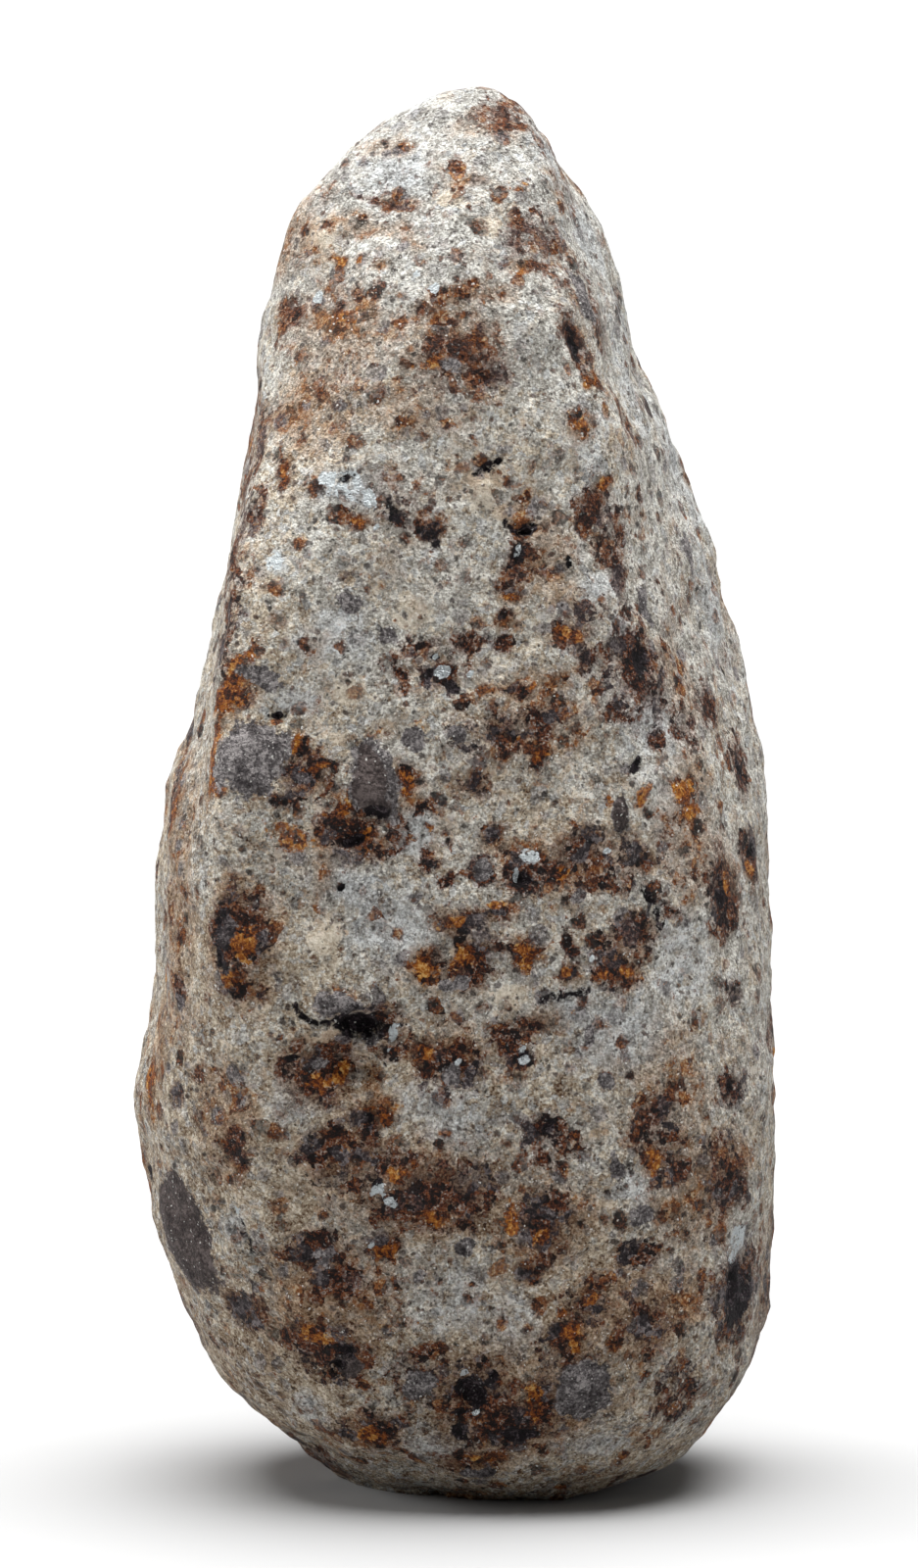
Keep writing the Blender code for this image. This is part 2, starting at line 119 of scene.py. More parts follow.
DARK_SPOTS = [
    Spot(510, 118, 0.61, 0.51, 0, 0.7), Spot(395, 210, 1.22, 0.12, -6, 0.8),
    Spot(536, 236, 0.49, 0.51, 0, 0.8), Spot(545, 270, 0.32, 0.2, 0, 0.8),
    Spot(300, 319, 0.37, 0.39, 30, 0.8), Spot(462, 352, 0.73, 0.44, -12, 0.8),
    Spot(490, 384, 0.59, 0.49, 0, 0.8), Spot(583, 352, 0.29, 0.76, 15),
    Spot(401, 520, 0.41, 0.44, 20, 0.3), Spot(445, 539, 0.36, 0.4, 0, 0.4),
    Spot(366, 528, 0.2, 0.27, 0, 0.8), Spot(526, 574, 0.34, 0.41), Spot(605, 520, 0.39, 0.56, 20),
    Spot(649, 505, 0.2, 0.24), Spot(633, 585, 0.27, 0.56, 10), Spot(601, 672, 0.32, 0.39),
    Spot(655, 684, 0.58, 0.98, 6), Spot(584, 650, 0.32, 0.24, -20), Spot(724, 722, 0.52, 0.5),
    Spot(472, 658, 0.44, 0.2, 10), Spot(430, 656, 0.17, 0.12), Spot(413, 686, 0.16, 0.16),
    Spot(413, 704, 0.12, 0.13), Spot(452, 690, 0.49, 0.32, 0, 0.9), Spot(516, 656, 0.22, 0.2, 0, 0.9),
    Spot(250, 700, 0.24, 0.49, 20, 0.8), Spot(552, 768, 0.29, 0.27), Spot(508, 747, 0.29, 0.22, 0, 0.7),
    Spot(531, 708, 0.27, 0.22, 0, 0.7), Spot(550, 738, 0.24, 0.27, 0, 0.6), Spot(668, 757, 0.22, 0.27),
    Spot(754, 782, 0.42, 0.62, -10), Spot(306, 790, 0.28, 0.36), Spot(288, 818, 0.32, 0.18),
    Spot(414, 790, 0.24, 0.34), Spot(308, 768, 0.14, 0.2), Spot(362, 852, 0.49, 0.41, -10),
    Spot(430, 822, 0.24, 0.17, 20, 0.7), Spot(330, 852, 0.2, 0.32, 0, 0.6), Spot(440, 885, 0.2, 0.2),
    Spot(454, 899, 0.15, 0.12), Spot(490, 888, 0.29, 0.27, 0, 0.8), Spot(532, 893, 0.54, 0.41),
    Spot(596, 868, 0.56, 0.41, 10), Spot(570, 888, 0.32, 0.32, 0, 0.9),
    Spot(655, 876, 0.32, 0.29, 0, 0.8), Spot(735, 915, 0.66, 0.78, 8), Spot(768, 870, 0.6, 0.52),
    Spot(240, 950, 0.56, 0.81, 8), Spot(246, 1006, 0.41, 0.29, 0, 0.9),
    Spot(473, 943, 0.39, 0.24, 0, 0.9), Spot(508, 928, 0.27, 0.15, -20),
    Spot(531, 968, 0.29, 0.27, 0, 0.8), Spot(583, 967, 0.17, 0.24), Spot(583, 994, 0.22, 0.17),
    Spot(627, 985, 0.46, 0.44, 0, 0.9), Spot(652, 950, 0.37, 0.34, 0, 0.7), Spot(680, 930, 0.2, 0.2),
    Spot(478, 985, 0.37, 0.51, -20, 0.9), Spot(436, 985, 0.24, 0.37, 10, 0.7),
    Spot(325, 1088, 0.73, 0.61), Spot(352, 1080, 0.2, 0.37, 0, 0.9), Spot(462, 1086, 0.56, 0.56, 0, 0.9),
    Spot(430, 1070, 0.29, 0.27), Spot(520, 1062, 0.41, 0.49, 0, 0.8), Spot(548, 1044, 0.24, 0.24, 0, 0.7),
    Spot(375, 1144, 0.44, 0.37), Spot(556, 1154, 0.46, 0.37), Spot(549, 1180, 0.22, 0.2),
    Spot(664, 1132, 0.37, 0.32, -40), Spot(690, 1194, 0.32, 0.29, 0, 0.9), Spot(744, 1111, 0.5, 0.36),
    Spot(745, 1212, 0.7, 0.54, 0, 0.9), Spot(330, 1172, 0.61, 0.37, 20, 0.6),
    Spot(440, 1222, 1.1, 0.68, 10, 0.75), Spot(478, 1222, 0.37, 0.54, 0, 0.9),
    Spot(559, 1246, 0.51, 0.54), Spot(388, 1274, 0.44, 0.29, 20), Spot(325, 1284, 0.54, 0.37, 30),
    Spot(348, 1304, 0.41, 0.41), Spot(236, 1166, 0.32, 0.37), Spot(246, 1192, 0.27, 0.2),
    Spot(650, 1282, 0.44, 0.27, 0, 0.8), Spot(756, 1310, 0.95, 1.0), Spot(600, 1326, 0.29, 0.2, 0, 0.8),
    Spot(540, 1300, 0.27, 0.22, 0, 0.8), Spot(336, 1374, 0.81, 0.41, -18), Spot(358, 1394, 0.51, 0.41),
    Spot(484, 1428, 0.63, 0.71), Spot(510, 1462, 0.85, 0.56), Spot(552, 1424, 0.37, 0.44, 0, 0.8),
    Spot(382, 1462, 0.56, 0.49, 0, 0.8), Spot(478, 1492, 0.49, 0.34), Spot(242, 1333, 0.44, 0.37, 0, 0.8),
    Spot(658, 1346, 0.37, 0.41, 0, 0.7), Spot(578, 1372, 0.37, 0.41, 0, 0.8),
    Spot(181, 1010, 0.2, 0.44, 0, 0.8), Spot(178, 830, 0.24, 0.85, 0, 0.6),
    Spot(180, 1116, 0.22, 0.29, 0, 0.8), Spot(153, 1100, 0.2, 0.49, 0, 0.8), Spot(614, 1104, 0.2, 0.15),
    Spot(530, 1080, 0.22, 0.24), Spot(751, 1020, 0.32, 0.29, 0, 0.7), Spot(268, 462, 0.2, 0.37, 0, 0.7),
    Spot(292, 482, 0.17, 0.29, 0, 0.8), Spot(520, 604, 0.32, 0.17, 0, 0.7),
    Spot(516, 630, 0.24, 0.12, 0, 0.7), Spot(505, 852, 0.24, 0.24, 0, 0.7),
    Spot(486, 804, 0.27, 0.2, 0, 0.6), Spot(620, 545, 0.5, 0.9, 10, 0.15),
    Spot(650, 690, 0.85, 1.0, 10, 0.2), Spot(700, 742, 0.42, 0.46, 0, 0.2),
    Spot(498, 742, 0.8, 0.5, 0, 0.12), Spot(625, 882, 0.9, 0.46, 0, 0.15),
    Spot(735, 900, 0.42, 0.8, 0, 0.15), Spot(640, 972, 0.7, 0.46, 0, 0.12),
    Spot(484, 960, 0.6, 0.7, 0, 0.12), Spot(245, 965, 0.46, 0.8, 0, 0.2),
    Spot(330, 1090, 0.62, 0.56, 0, 0.2), Spot(470, 1085, 0.56, 0.5, 0, 0.2),
    Spot(530, 1062, 0.5, 0.5, 0, 0.15), Spot(372, 1188, 1.3, 0.5, 0, 0.15),
    Spot(470, 1212, 0.74, 0.66, 0, 0.2), Spot(560, 1160, 0.56, 0.46, 0, 0.2),
    Spot(672, 1160, 0.6, 0.7, 0, 0.12), Spot(560, 1244, 0.56, 0.7, 0, 0.15),
    Spot(738, 1200, 0.6, 0.8, 0, 0.2), Spot(756, 1325, 0.5, 1.0, 0, 0.2),
    Spot(340, 1296, 0.7, 0.64, 0, 0.2), Spot(340, 1382, 0.76, 0.6, 0, 0.2),
    Spot(500, 1440, 1.1, 0.8, 0, 0.25), Spot(582, 1408, 0.6, 0.66, 0, 0.15),
    Spot(382, 1462, 0.74, 0.46, 0, 0.15), Spot(605, 1332, 0.66, 0.4, 0, 0.12),
    Spot(655, 1342, 0.56, 0.62, 0, 0.15), Spot(430, 1400, 0.7, 0.5, 0, 0.1),
    Spot(250, 1332, 0.5, 0.46, 0, 0.15), Spot(476, 362, 0.9, 0.8, 0, 0.2),
    Spot(540, 246, 0.46, 0.5, 0, 0.2), Spot(396, 514, 0.8, 0.56, 0, 0.12),
    Spot(440, 672, 0.7, 0.46, 0, 0.12), Spot(590, 640, 0.5, 0.46, 0, 0.12),
    Spot(312, 792, 0.4, 0.44, 0, 0.2), Spot(372, 840, 0.7, 0.6, 0, 0.15),
    Spot(690, 1420, 0.6, 0.6, 0, 0.12), Spot(548, 248, 0.6, 0.8, 10, 0.25),
    Spot(604, 325, 0.4, 0.9, 12, 0.15), Spot(572, 196, 0.34, 0.56, 20, 0.12),
    Spot(255, 560, 0.3, 1.3, -8, 0.4), Spot(246, 650, 0.3, 1.1, -8, 0.5),
    Spot(262, 470, 0.24, 1.1, -5, 0.4), Spot(256, 520, 0.14, 0.2), Spot(252, 590, 0.14, 0.24),
    Spot(244, 622, 0.16, 0.2), Spot(240, 660, 0.18, 0.3), Spot(388, 1038, 0.44, 0.3, 0, 0.6),
    Spot(396, 1070, 0.36, 0.22, 0, 0.5), Spot(352, 1030, 0.5, 0.16, -8, 0.3),
    Spot(628, 420, 0.34, 0.7, 15, 0.12), Spot(512, 108, 0.56, 0.4, 0, 0.2),
    Spot(400, 1055, 0.4, 0.34, -20, 0.5),
]
RUST_SPOTS = [
    Spot(344, 266, 0.23, 0.14), Spot(367, 266, 0.21, 0.16), Spot(322, 268, 0.18, 0.11),
    Spot(388, 270, 0.16, 0.11), Spot(534, 274, 0.41, 0.21, 0, 0.9), Spot(340, 330, 1.26, 0.51, -8, 0.8),
    Spot(372, 318, 0.46, 0.34, 0, 0.8), Spot(450, 340, 0.69, 0.46, 0, 0.7), Spot(597, 390, 0.25, 0.23),
    Spot(592, 437, 0.34, 0.32, 0, 0.9), Spot(310, 410, 0.8, 0.69, 0, 0.5),
    Spot(482, 182, 0.41, 0.18, 0, 0.8), Spot(410, 206, 0.57, 0.16, 0, 0.7), Spot(293, 478, 0.23, 0.25),
    Spot(366, 532, 0.28, 0.21), Spot(616, 495, 0.32, 0.18, 0, 0.9), Spot(654, 525, 0.25, 0.21),
    Spot(521, 606, 0.3, 0.23), Spot(516, 631, 0.28, 0.18), Spot(581, 648, 0.39, 0.25),
    Spot(258, 690, 0.39, 0.39), Spot(244, 726, 0.23, 0.53), Spot(250, 712, 0.3, 0.23),
    Spot(531, 708, 0.34, 0.28), Spot(552, 766, 0.44, 0.34), Spot(507, 747, 0.34, 0.32),
    Spot(303, 760, 0.2, 0.25), Spot(234, 797, 0.25, 0.39), Spot(312, 796, 0.36, 0.4),
    Spot(361, 824, 0.32, 0.3), Spot(376, 864, 0.39, 0.18, 30), Spot(413, 796, 0.39, 0.46),
    Spot(420, 818, 0.34, 0.23), Spot(330, 862, 0.28, 0.8, -8, 0.8), Spot(181, 828, 0.39, 1.03, 0, 0.8),
    Spot(507, 852, 0.34, 0.3, 0, 0.8), Spot(485, 804, 0.39, 0.3, 0, 0.7),
    Spot(540, 872, 0.69, 0.46, 0, 0.8), Spot(596, 872, 0.69, 0.57, 0, 0.9), Spot(576, 892, 0.3, 0.25),
    Spot(660, 878, 0.39, 0.34, 0, 0.8), Spot(742, 900, 0.53, 0.87, 0, 0.8), Spot(766, 890, 0.3, 0.23),
    Spot(470, 944, 0.46, 0.28), Spot(507, 928, 0.34, 0.21), Spot(530, 966, 0.37, 0.37),
    Spot(430, 989, 0.37, 0.51, 0, 0.9), Spot(478, 982, 0.44, 0.6), Spot(627, 984, 0.57, 0.51),
    Spot(652, 950, 0.46, 0.39, 0, 0.8), Spot(583, 990, 0.25, 0.21), Spot(250, 950, 0.64, 0.99),
    Spot(252, 1008, 0.51, 0.32), Spot(180, 1009, 0.3, 0.57, 0, 0.8), Spot(325, 1089, 0.83, 0.69),
    Spot(430, 1070, 0.34, 0.3), Spot(462, 1070, 0.62, 0.57, 0, 0.7), Spot(390, 1030, 0.34, 0.23),
    Spot(375, 1140, 0.55, 0.44), Spot(390, 1138, 0.3, 0.3), Spot(548, 1044, 0.46, 0.34, 0, 0.8),
    Spot(666, 1132, 0.46, 0.39, -40, 0.8), Spot(667, 1182, 0.3, 0.34, 0, 0.8),
    Spot(153, 1100, 0.39, 0.8, 0, 0.9), Spot(233, 1166, 0.39, 0.39), Spot(243, 1190, 0.34, 0.28),
    Spot(350, 1180, 1.03, 0.51, -10, 0.8), Spot(430, 1222, 1.49, 0.8, 6, 0.85),
    Spot(435, 1240, 0.69, 0.39), Spot(388, 1274, 0.46, 0.32), Spot(559, 1245, 0.57, 0.57, 0, 0.9),
    Spot(541, 1300, 0.32, 0.25), Spot(600, 1322, 0.39, 0.25, 0, 0.9), Spot(335, 1300, 0.64, 0.69, 0, 0.8),
    Spot(584, 1362, 0.41, 0.46, 0, 0.9), Spot(332, 1368, 0.85, 0.46), Spot(547, 1424, 0.28, 0.53),
    Spot(382, 1460, 0.64, 0.53), Spot(483, 1490, 0.57, 0.39, 0, 0.9), Spot(748, 1190, 0.64, 0.57, 0, 0.8),
    Spot(690, 1230, 0.69, 0.46, 0, 0.6), Spot(700, 800, 0.69, 0.57, 0, 0.5),
    Spot(246, 1330, 0.53, 0.41, 0, 0.7), Spot(700, 1330, 0.46, 0.57, 0, 0.6),
    Spot(660, 1350, 0.46, 0.46, 0, 0.7), Spot(380, 1100, 0.23, 0.57, 20, 0.6),
    Spot(230, 640, 0.16, 0.57, 0, 0.7), Spot(560, 700, 0.57, 0.34, 0, 0.5),
    Spot(345, 332, 1.5, 0.8, -6, 0.35), Spot(325, 415, 0.9, 0.9, 0, 0.3),
    Spot(455, 345, 1.0, 0.7, 0, 0.35), Spot(415, 420, 0.8, 0.5, 0, 0.15),
    Spot(505, 130, 0.7, 0.5, 0, 0.2), Spot(385, 235, 1.2, 0.22, -6, 0.2),
    Spot(470, 300, 0.9, 0.24, 12, 0.2), Spot(395, 150, 0.5, 0.24, 0, 0.25),
    Spot(560, 560, 0.6, 1.0, 10, 0.2), Spot(690, 690, 0.8, 1.0, 0, 0.25),
    Spot(545, 730, 1.0, 0.8, 0, 0.25), Spot(700, 850, 0.9, 1.2, 0, 0.3),
    Spot(600, 880, 1.1, 0.6, 0, 0.3), Spot(245, 960, 0.7, 1.2, 0, 0.35),
    Spot(420, 1210, 1.6, 0.9, 0, 0.4), Spot(560, 1240, 0.9, 1.0, 0, 0.3),
    Spot(720, 1210, 1.0, 1.2, 0, 0.35), Spot(340, 1330, 1.2, 1.2, 0, 0.2),
    Spot(520, 1430, 1.6, 1.0, 0, 0.2), Spot(640, 1340, 1.2, 0.9, 0, 0.15),
    Spot(180, 930, 0.7, 2.4, 0, 0.25), Spot(230, 1150, 0.7, 1.2, 0, 0.2),
    Spot(690, 1110, 0.8, 1.2, 0, 0.25),
]
SLATE_SPOTS = [
    Spot(190, 1262, 1.0, 1.34, 20, 1.0, 2.6), Spot(370, 796, 0.32, 0.76, 4, 0.5),
    Spot(384, 822, 0.3, 0.3, 0, 0.5), Spot(356, 1394, 0.36, 0.32, 0, 0.9), Spot(659, 415, 0.16, 0.34),
    Spot(632, 827, 0.1, 0.5, -12, 0.8),
]
CLAST_SPOTS = [
    Spot(350, 1026, 0.5, 0.24, -8, 0.4), Spot(380, 1062, 0.24, 0.16, 0, 0.4),
    Spot(265, 771, 0.66, 0.8, -10, 1.0, 3), Spot(380, 798, 0.47, 0.86, 4, 1.0, 3),
    Spot(455, 1005, 0.15, 0.15), Spot(472, 1003, 0.18, 0.15), Spot(592, 1418, 0.7, 0.66, 0, 0.9),
    Spot(476, 1271, 0.25, 0.22), Spot(488, 1501, 0.36, 0.2), Spot(659, 623, 0.2, 0.42, 10, 0.8),
    Spot(632, 827, 0.12, 0.55, -12, 0.8), Spot(274, 690, 0.44, 0.26, 0, 0.9),
    Spot(421, 747, 0.22, 0.22, 0, 0.8), Spot(468, 750, 0.22, 0.18, 0, 0.9),
    Spot(326, 1086, 0.24, 0.18, 0, 0.3), Spot(656, 1243, 0.34, 0.22, 0, 0.9), Spot(614, 1104, 0.2, 0.16),
    Spot(428, 1416, 0.4, 0.34, 0, 0.6), Spot(360, 620, 0.3, 0.26, 0, 0.7),
    Spot(352, 612, 0.2, 0.2, 0, 0.8), Spot(396, 648, 0.26, 0.2, 0, 0.6),
    Spot(490, 890, 0.2, 0.2, 0, 0.8), Spot(330, 1290, 0.2, 0.26, 0, 0.3),
    Spot(462, 1094, 0.26, 0.26, 0, 0.7), Spot(628, 1190, 0.26, 0.26, 0, 0.5),
    Spot(665, 927, 0.1, 0.24, -20), Spot(602, 1060, 0.16, 0.2, 0, 0.5),
    Spot(588, 300, 0.2, 0.6, 10, 0.5), Spot(700, 560, 0.2, 0.6, -15, 0.4),
    Spot(460, 372, 0.22, 0.16, 0, 0.2),
]
HAZE_SPOTS = [
    Spot(600, 250, 0.5, 1.0, 15, 0.6), Spot(640, 340, 0.4, 1.0, 15, 0.6),
    Spot(690, 480, 0.6, 1.6, 20, 0.6), Spot(722, 610, 0.6, 1.6, 10, 0.6),
    Spot(560, 165, 0.4, 0.6, 0, 0.5), Spot(330, 235, 0.6, 0.3, -30, 0.5),
    Spot(400, 180, 0.7, 0.46, 0, 0.9), Spot(478, 368, 0.26, 0.14, -20, 0.9),
    Spot(360, 499, 0.66, 0.34, -8, 1.0), Spot(287, 579, 0.22, 0.3, 0, 0.9),
    Spot(607, 597, 0.5, 0.44, 0, 0.8), Spot(636, 641, 0.4, 0.3, 0, 0.9),
    Spot(664, 730, 0.86, 0.8, 0, 0.9), Spot(300, 716, 0.6, 0.26, -10, 0.8),
    Spot(368, 909, 0.62, 0.5, 0, 0.9), Spot(405, 945, 1.0, 0.8, 0, 0.8),
    Spot(420, 840, 0.5, 0.6, 0, 0.5), Spot(626, 1060, 1.1, 0.9, 0, 0.8),
    Spot(590, 1030, 0.8, 0.4, 0, 0.6), Spot(450, 1120, 0.6, 0.5, 0, 0.7),
    Spot(460, 1150, 0.5, 0.6, 0, 0.6), Spot(315, 1436, 0.46, 0.5, 0, 0.8),
    Spot(455, 1330, 0.6, 0.6, 0, 0.1), Spot(758, 1271, 0.36, 0.36), Spot(649, 1211, 0.4, 0.34, 0, 0.7),
    Spot(240, 1250, 0.3, 0.4, 0, 0.7), Spot(600, 440, 0.4, 0.8, 0, 0.5),
    Spot(690, 830, 0.8, 1.2, 0, 0.5), Spot(700, 980, 0.7, 0.9, 0, 0.5),
    Spot(300, 1120, 0.5, 0.7, 0, 0.4), Spot(340, 640, 0.7, 0.5, 0, 0.5),
    Spot(640, 400, 0.4, 1.2, 0, 0.5), Spot(340, 310, 0.4, 0.2, 0, 0.6),
    Spot(450, 1480, 0.7, 0.4, 0, 0.4), Spot(600, 1480, 0.8, 0.4, 0, 0.4),
    Spot(520, 1350, 0.5, 0.7, 0, 0.2),
]
OCHRE_SPOTS = [
    Spot(258, 680, 0.16, 0.4, -20, 0.8), Spot(246, 714, 0.24, 0.4, -14, 0.8),
    Spot(236, 760, 0.16, 0.6, -4), Spot(236, 800, 0.2, 0.26), Spot(300, 762, 0.12, 0.2, 0, 0.8),
    Spot(286, 736, 0.16, 0.1), Spot(318, 784, 0.2, 0.1, 0, 0.5), Spot(356, 824, 0.16, 0.24, 20),
    Spot(374, 852, 0.14, 0.12), Spot(413, 800, 0.14, 0.3, 0, 0.6), Spot(552, 772, 0.22, 0.14, 0, 0.8),
    Spot(576, 890, 0.14, 0.14), Spot(616, 495, 0.2, 0.12), Spot(654, 525, 0.14, 0.12),
    Spot(293, 482, 0.12, 0.16), Spot(592, 437, 0.24, 0.2, 0, 0.8), Spot(597, 390, 0.18, 0.14),
    Spot(578, 376, 0.1, 0.2), Spot(581, 648, 0.3, 0.16, -20, 0.7), Spot(430, 992, 0.22, 0.32, 0, 0.6),
    Spot(474, 976, 0.26, 0.2, 0, 0.8), Spot(505, 926, 0.22, 0.12, -20, 0.9),
    Spot(468, 940, 0.2, 0.14, 0, 0.8), Spot(532, 968, 0.22, 0.2, 0, 0.7), Spot(618, 996, 0.16, 0.1),
    Spot(640, 992, 0.12, 0.16), Spot(580, 990, 0.12, 0.12), Spot(392, 1142, 0.16, 0.18),
    Spot(376, 1130, 0.18, 0.1), Spot(351, 1095, 0.14, 0.2), Spot(431, 1073, 0.18, 0.16),
    Spot(326, 1104, 0.24, 0.12, 0, 0.7), Spot(244, 1000, 0.26, 0.16, 0, 0.8),
    Spot(256, 960, 0.14, 0.4, 0, 0.7), Spot(228, 1166, 0.2, 0.16, 0, 0.8),
    Spot(438, 1244, 0.34, 0.16, 0, 0.8), Spot(410, 1200, 0.26, 0.2, 0, 0.6),
    Spot(388, 1276, 0.26, 0.14, 0, 0.8), Spot(524, 1244, 0.1, 0.34, 0, 0.7),
    Spot(551, 1262, 0.16, 0.14, 0, 0.8), Spot(585, 1365, 0.22, 0.26), Spot(574, 1340, 0.14, 0.14),
    Spot(545, 1424, 0.14, 0.36, 0, 0.8), Spot(603, 1324, 0.2, 0.1),
    Spot(322, 1362, 0.3, 0.16, -20, 0.8), Spot(380, 1464, 0.3, 0.2, 0, 0.7),
    Spot(483, 1488, 0.22, 0.14, 0, 0.7), Spot(180, 826, 0.2, 0.7, 0, 0.7),
    Spot(153, 1100, 0.2, 0.5, 0, 0.7), Spot(766, 888, 0.16, 0.14, 0, 0.8), Spot(344, 266, 0.12, 0.08),
    Spot(368, 266, 0.12, 0.1), Spot(534, 276, 0.22, 0.1), Spot(352, 322, 0.4, 0.16, 0, 0.6),
    Spot(470, 180, 0.16, 0.1, 0, 0.7), Spot(442, 372, 0.3, 0.14, 0, 0.6), Spot(366, 535, 0.12, 0.12),
    Spot(546, 700, 0.1, 0.12), Spot(427, 740, 0.22, 0.16, 0, 0.5), Spot(667, 1184, 0.14, 0.2, 0, 0.7),
    Spot(521, 606, 0.14, 0.1), Spot(296, 850, 0.5, 0.2, -30, 0.4), Spot(655, 812, 0.2, 0.2, 0, 0.5),
    Spot(700, 815, 0.4, 0.3, 0, 0.4), Spot(741, 905, 0.12, 0.3, 0, 0.6),
]
CREAM_SPOTS = [
    Spot(460, 203, 0.36, 0.22), Spot(496, 232, 0.34, 0.26), Spot(492, 501, 0.4, 0.38, -10, 1.0, 3),
    Spot(508, 526, 0.26, 0.18), Spot(277, 605, 0.14, 0.14), Spot(655, 974, 0.14, 0.12),
    Spot(630, 984, 0.16, 0.14, 0, 0.9), Spot(559, 1246, 0.18, 0.18), Spot(584, 1366, 0.16, 0.12, 0, 0.8),
    Spot(430, 972, 0.14, 0.16, 0, 0.8), Spot(340, 1057, 0.44, 0.15, 0, 0.9),
    Spot(327, 1060, 0.34, 0.12, 0, 0.8), Spot(500, 1450, 0.14, 0.12, 0, 0.7), Spot(460, 972, 0.1, 0.14),
    Spot(352, 700, 0.4, 0.3, 0, 0.5), Spot(420, 620, 0.4, 0.3, 0, 0.5),
    Spot(330, 960, 0.4, 0.5, 0, 0.5), Spot(310, 1190, 0.4, 0.5, 0, 0.5),
    Spot(520, 1020, 0.5, 0.3, 0, 0.5), Spot(330, 240, 0.5, 0.4, 0, 0.7),
]
METAL_SPOTS = [
    Spot(426, 279, 0.12, 0.08), Spot(443, 292, 0.16, 0.1, -30), Spot(324, 305, 0.14, 0.1),
    Spot(387, 538, 0.07, 0.06), Spot(528, 558, 0.1, 0.06, 20), Spot(454, 686, 0.17, 0.14, 10),
    Spot(538, 876, 0.16, 0.16, 30), Spot(530, 890, 0.08, 0.12), Spot(532, 1082, 0.14, 0.1),
    Spot(536, 1070, 0.05, 0.08), Spot(386, 1214, 0.1, 0.18, -35), Spot(396, 1226, 0.16, 0.07, -30),
    Spot(403, 1052, 0.1, 0.22, -10), Spot(470, 1084, 0.05, 0.12), Spot(476, 1404, 0.12, 0.08),
    Spot(289, 576, 0.08, 0.12), Spot(380, 1272, 0.08, 0.06), Spot(240, 1236, 0.1, 0.1),
    Spot(484, 1440, 0.07, 0.05), Spot(618, 866, 0.1, 0.06), Spot(482, 690, 0.05, 0.05),
    Spot(356, 499, 0.5, 0.28, -10, 0.12), Spot(756, 1270, 0.34, 0.34, 0, 0.3),
    Spot(372, 512, 0.3, 0.18, 0, 0.1), Spot(286, 574, 0.2, 0.26, 0, 0.15), Spot(444, 668, 0.06, 0.05),
    Spot(606, 976, 0.06, 0.1),
]

# The rest of the stone has the same kinds of spot: how many a square mm, smallest and largest half width
SCATTERED = {
    "black": (0.06, 0.08, 0.26),
    "dark": (0.30, 0.12, 0.66),
    "rust": (0.24, 0.16, 0.70),
    "ochre": (0.14, 0.10, 0.34),
    "clast": (0.05, 0.15, 0.70),
    "slate": (0.012, 0.30, 0.90),
    "haze": (0.06, 0.40, 1.20),
    "cream": (0.05, 0.12, 0.36),
    "metal": (0.05, 0.05, 0.16),
}
# The seed of the scattered spots, and of the noise that the outlines wander with
SEED = 41
# A point counts as unseen where its normal is turned this little towards the camera, or away from it
UNSEEN_FACING = 0.12
# How narrow a scattered spot can be, and how solid
STRETCH_RANGE = (0.6, 1.0)
SOLID_RANGE = (0.7, 1.0)
# Some scattered spots of these kinds are soft and broad instead: how many, how much wider, and how solid
SOFT_KINDS = ("dark", "rust")
SOFT_SHARE = 0.35
SOFT_WIDENING = 2.2
SOFT_SOLID = 0.22

# How much each kind of spot stands out from the surface, in mm
KIND_HEIGHT = {
    "black": -0.08, "dark": -0.03, "rust": 0.0, "ochre": 0.01, "clast": 0.03, "slate": 0.03, "haze": 0.0,
    "cream": 0.03, "metal": 0.01,
}

# Ridges of the form: a line through pixels, its height and its half width in mm
CREASES = [
    (
        [(290, 400), (266, 520), (252, 640), (240, 738), (240, 815), (236, 900), (238, 1010), (246, 1120)],
        0.50, 1.3,
    ),
    ([(530, 120), (560, 200), (590, 300), (606, 400), (640, 480), (662, 560)], 0.16, 1.2),
]

# A ridge fades out over this share of its line at each end
CREASE_FADE = 0.25

# Pits and ledges besides the spots' own relief, each with its depth or height in mm
PITS = [
    (Spot(370, 1046, 0.46, 0.4, -15), 0.42), (Spot(390, 1050, 0.3, 0.2, -20), 0.10),
    (Spot(538, 541, 0.2, 0.12), 0.12), (Spot(498, 476, 0.34, 0.09, -25), 0.08),
    (Spot(281, 729, 0.24, 0.12), 0.12), (Spot(387, 832, 0.3, 0.18), 0.10),
    (Spot(362, 856, 0.3, 0.2), 0.12), (Spot(232, 1246, 0.12, 0.6, 10), 0.10),
    (Spot(665, 927, 0.12, 0.3, -20), 0.10), (Spot(479, 1424, 0.26, 0.4), 0.14),
    (Spot(750, 1312, 0.24, 0.6), 0.10), (Spot(346, 1396, 0.3, 0.26), 0.10),
    (Spot(533, 897, 0.3, 0.16), 0.08), (Spot(456, 690, 0.3, 0.22), 0.06),
]
LEDGES = [
    (Spot(356, 1022, 0.6, 0.16, -8), 0.16), (Spot(330, 1058, 0.46, 0.16, -10), 0.08),
    (Spot(265, 771, 0.66, 0.8, -10), 0.10), (Spot(380, 798, 0.44, 0.8, 4), 0.07),
    (Spot(492, 501, 0.38, 0.36, -10), 0.10), (Spot(508, 526, 0.24, 0.14), 0.06),
    (Spot(325, 1086, 0.5, 0.44), 0.07), (Spot(455, 1005, 0.15, 0.15), 0.05),
    (Spot(472, 1003, 0.18, 0.15), 0.05), (Spot(580, 1413, 0.6, 0.5), 0.06),
    (Spot(488, 1501, 0.36, 0.2), 0.06),
]
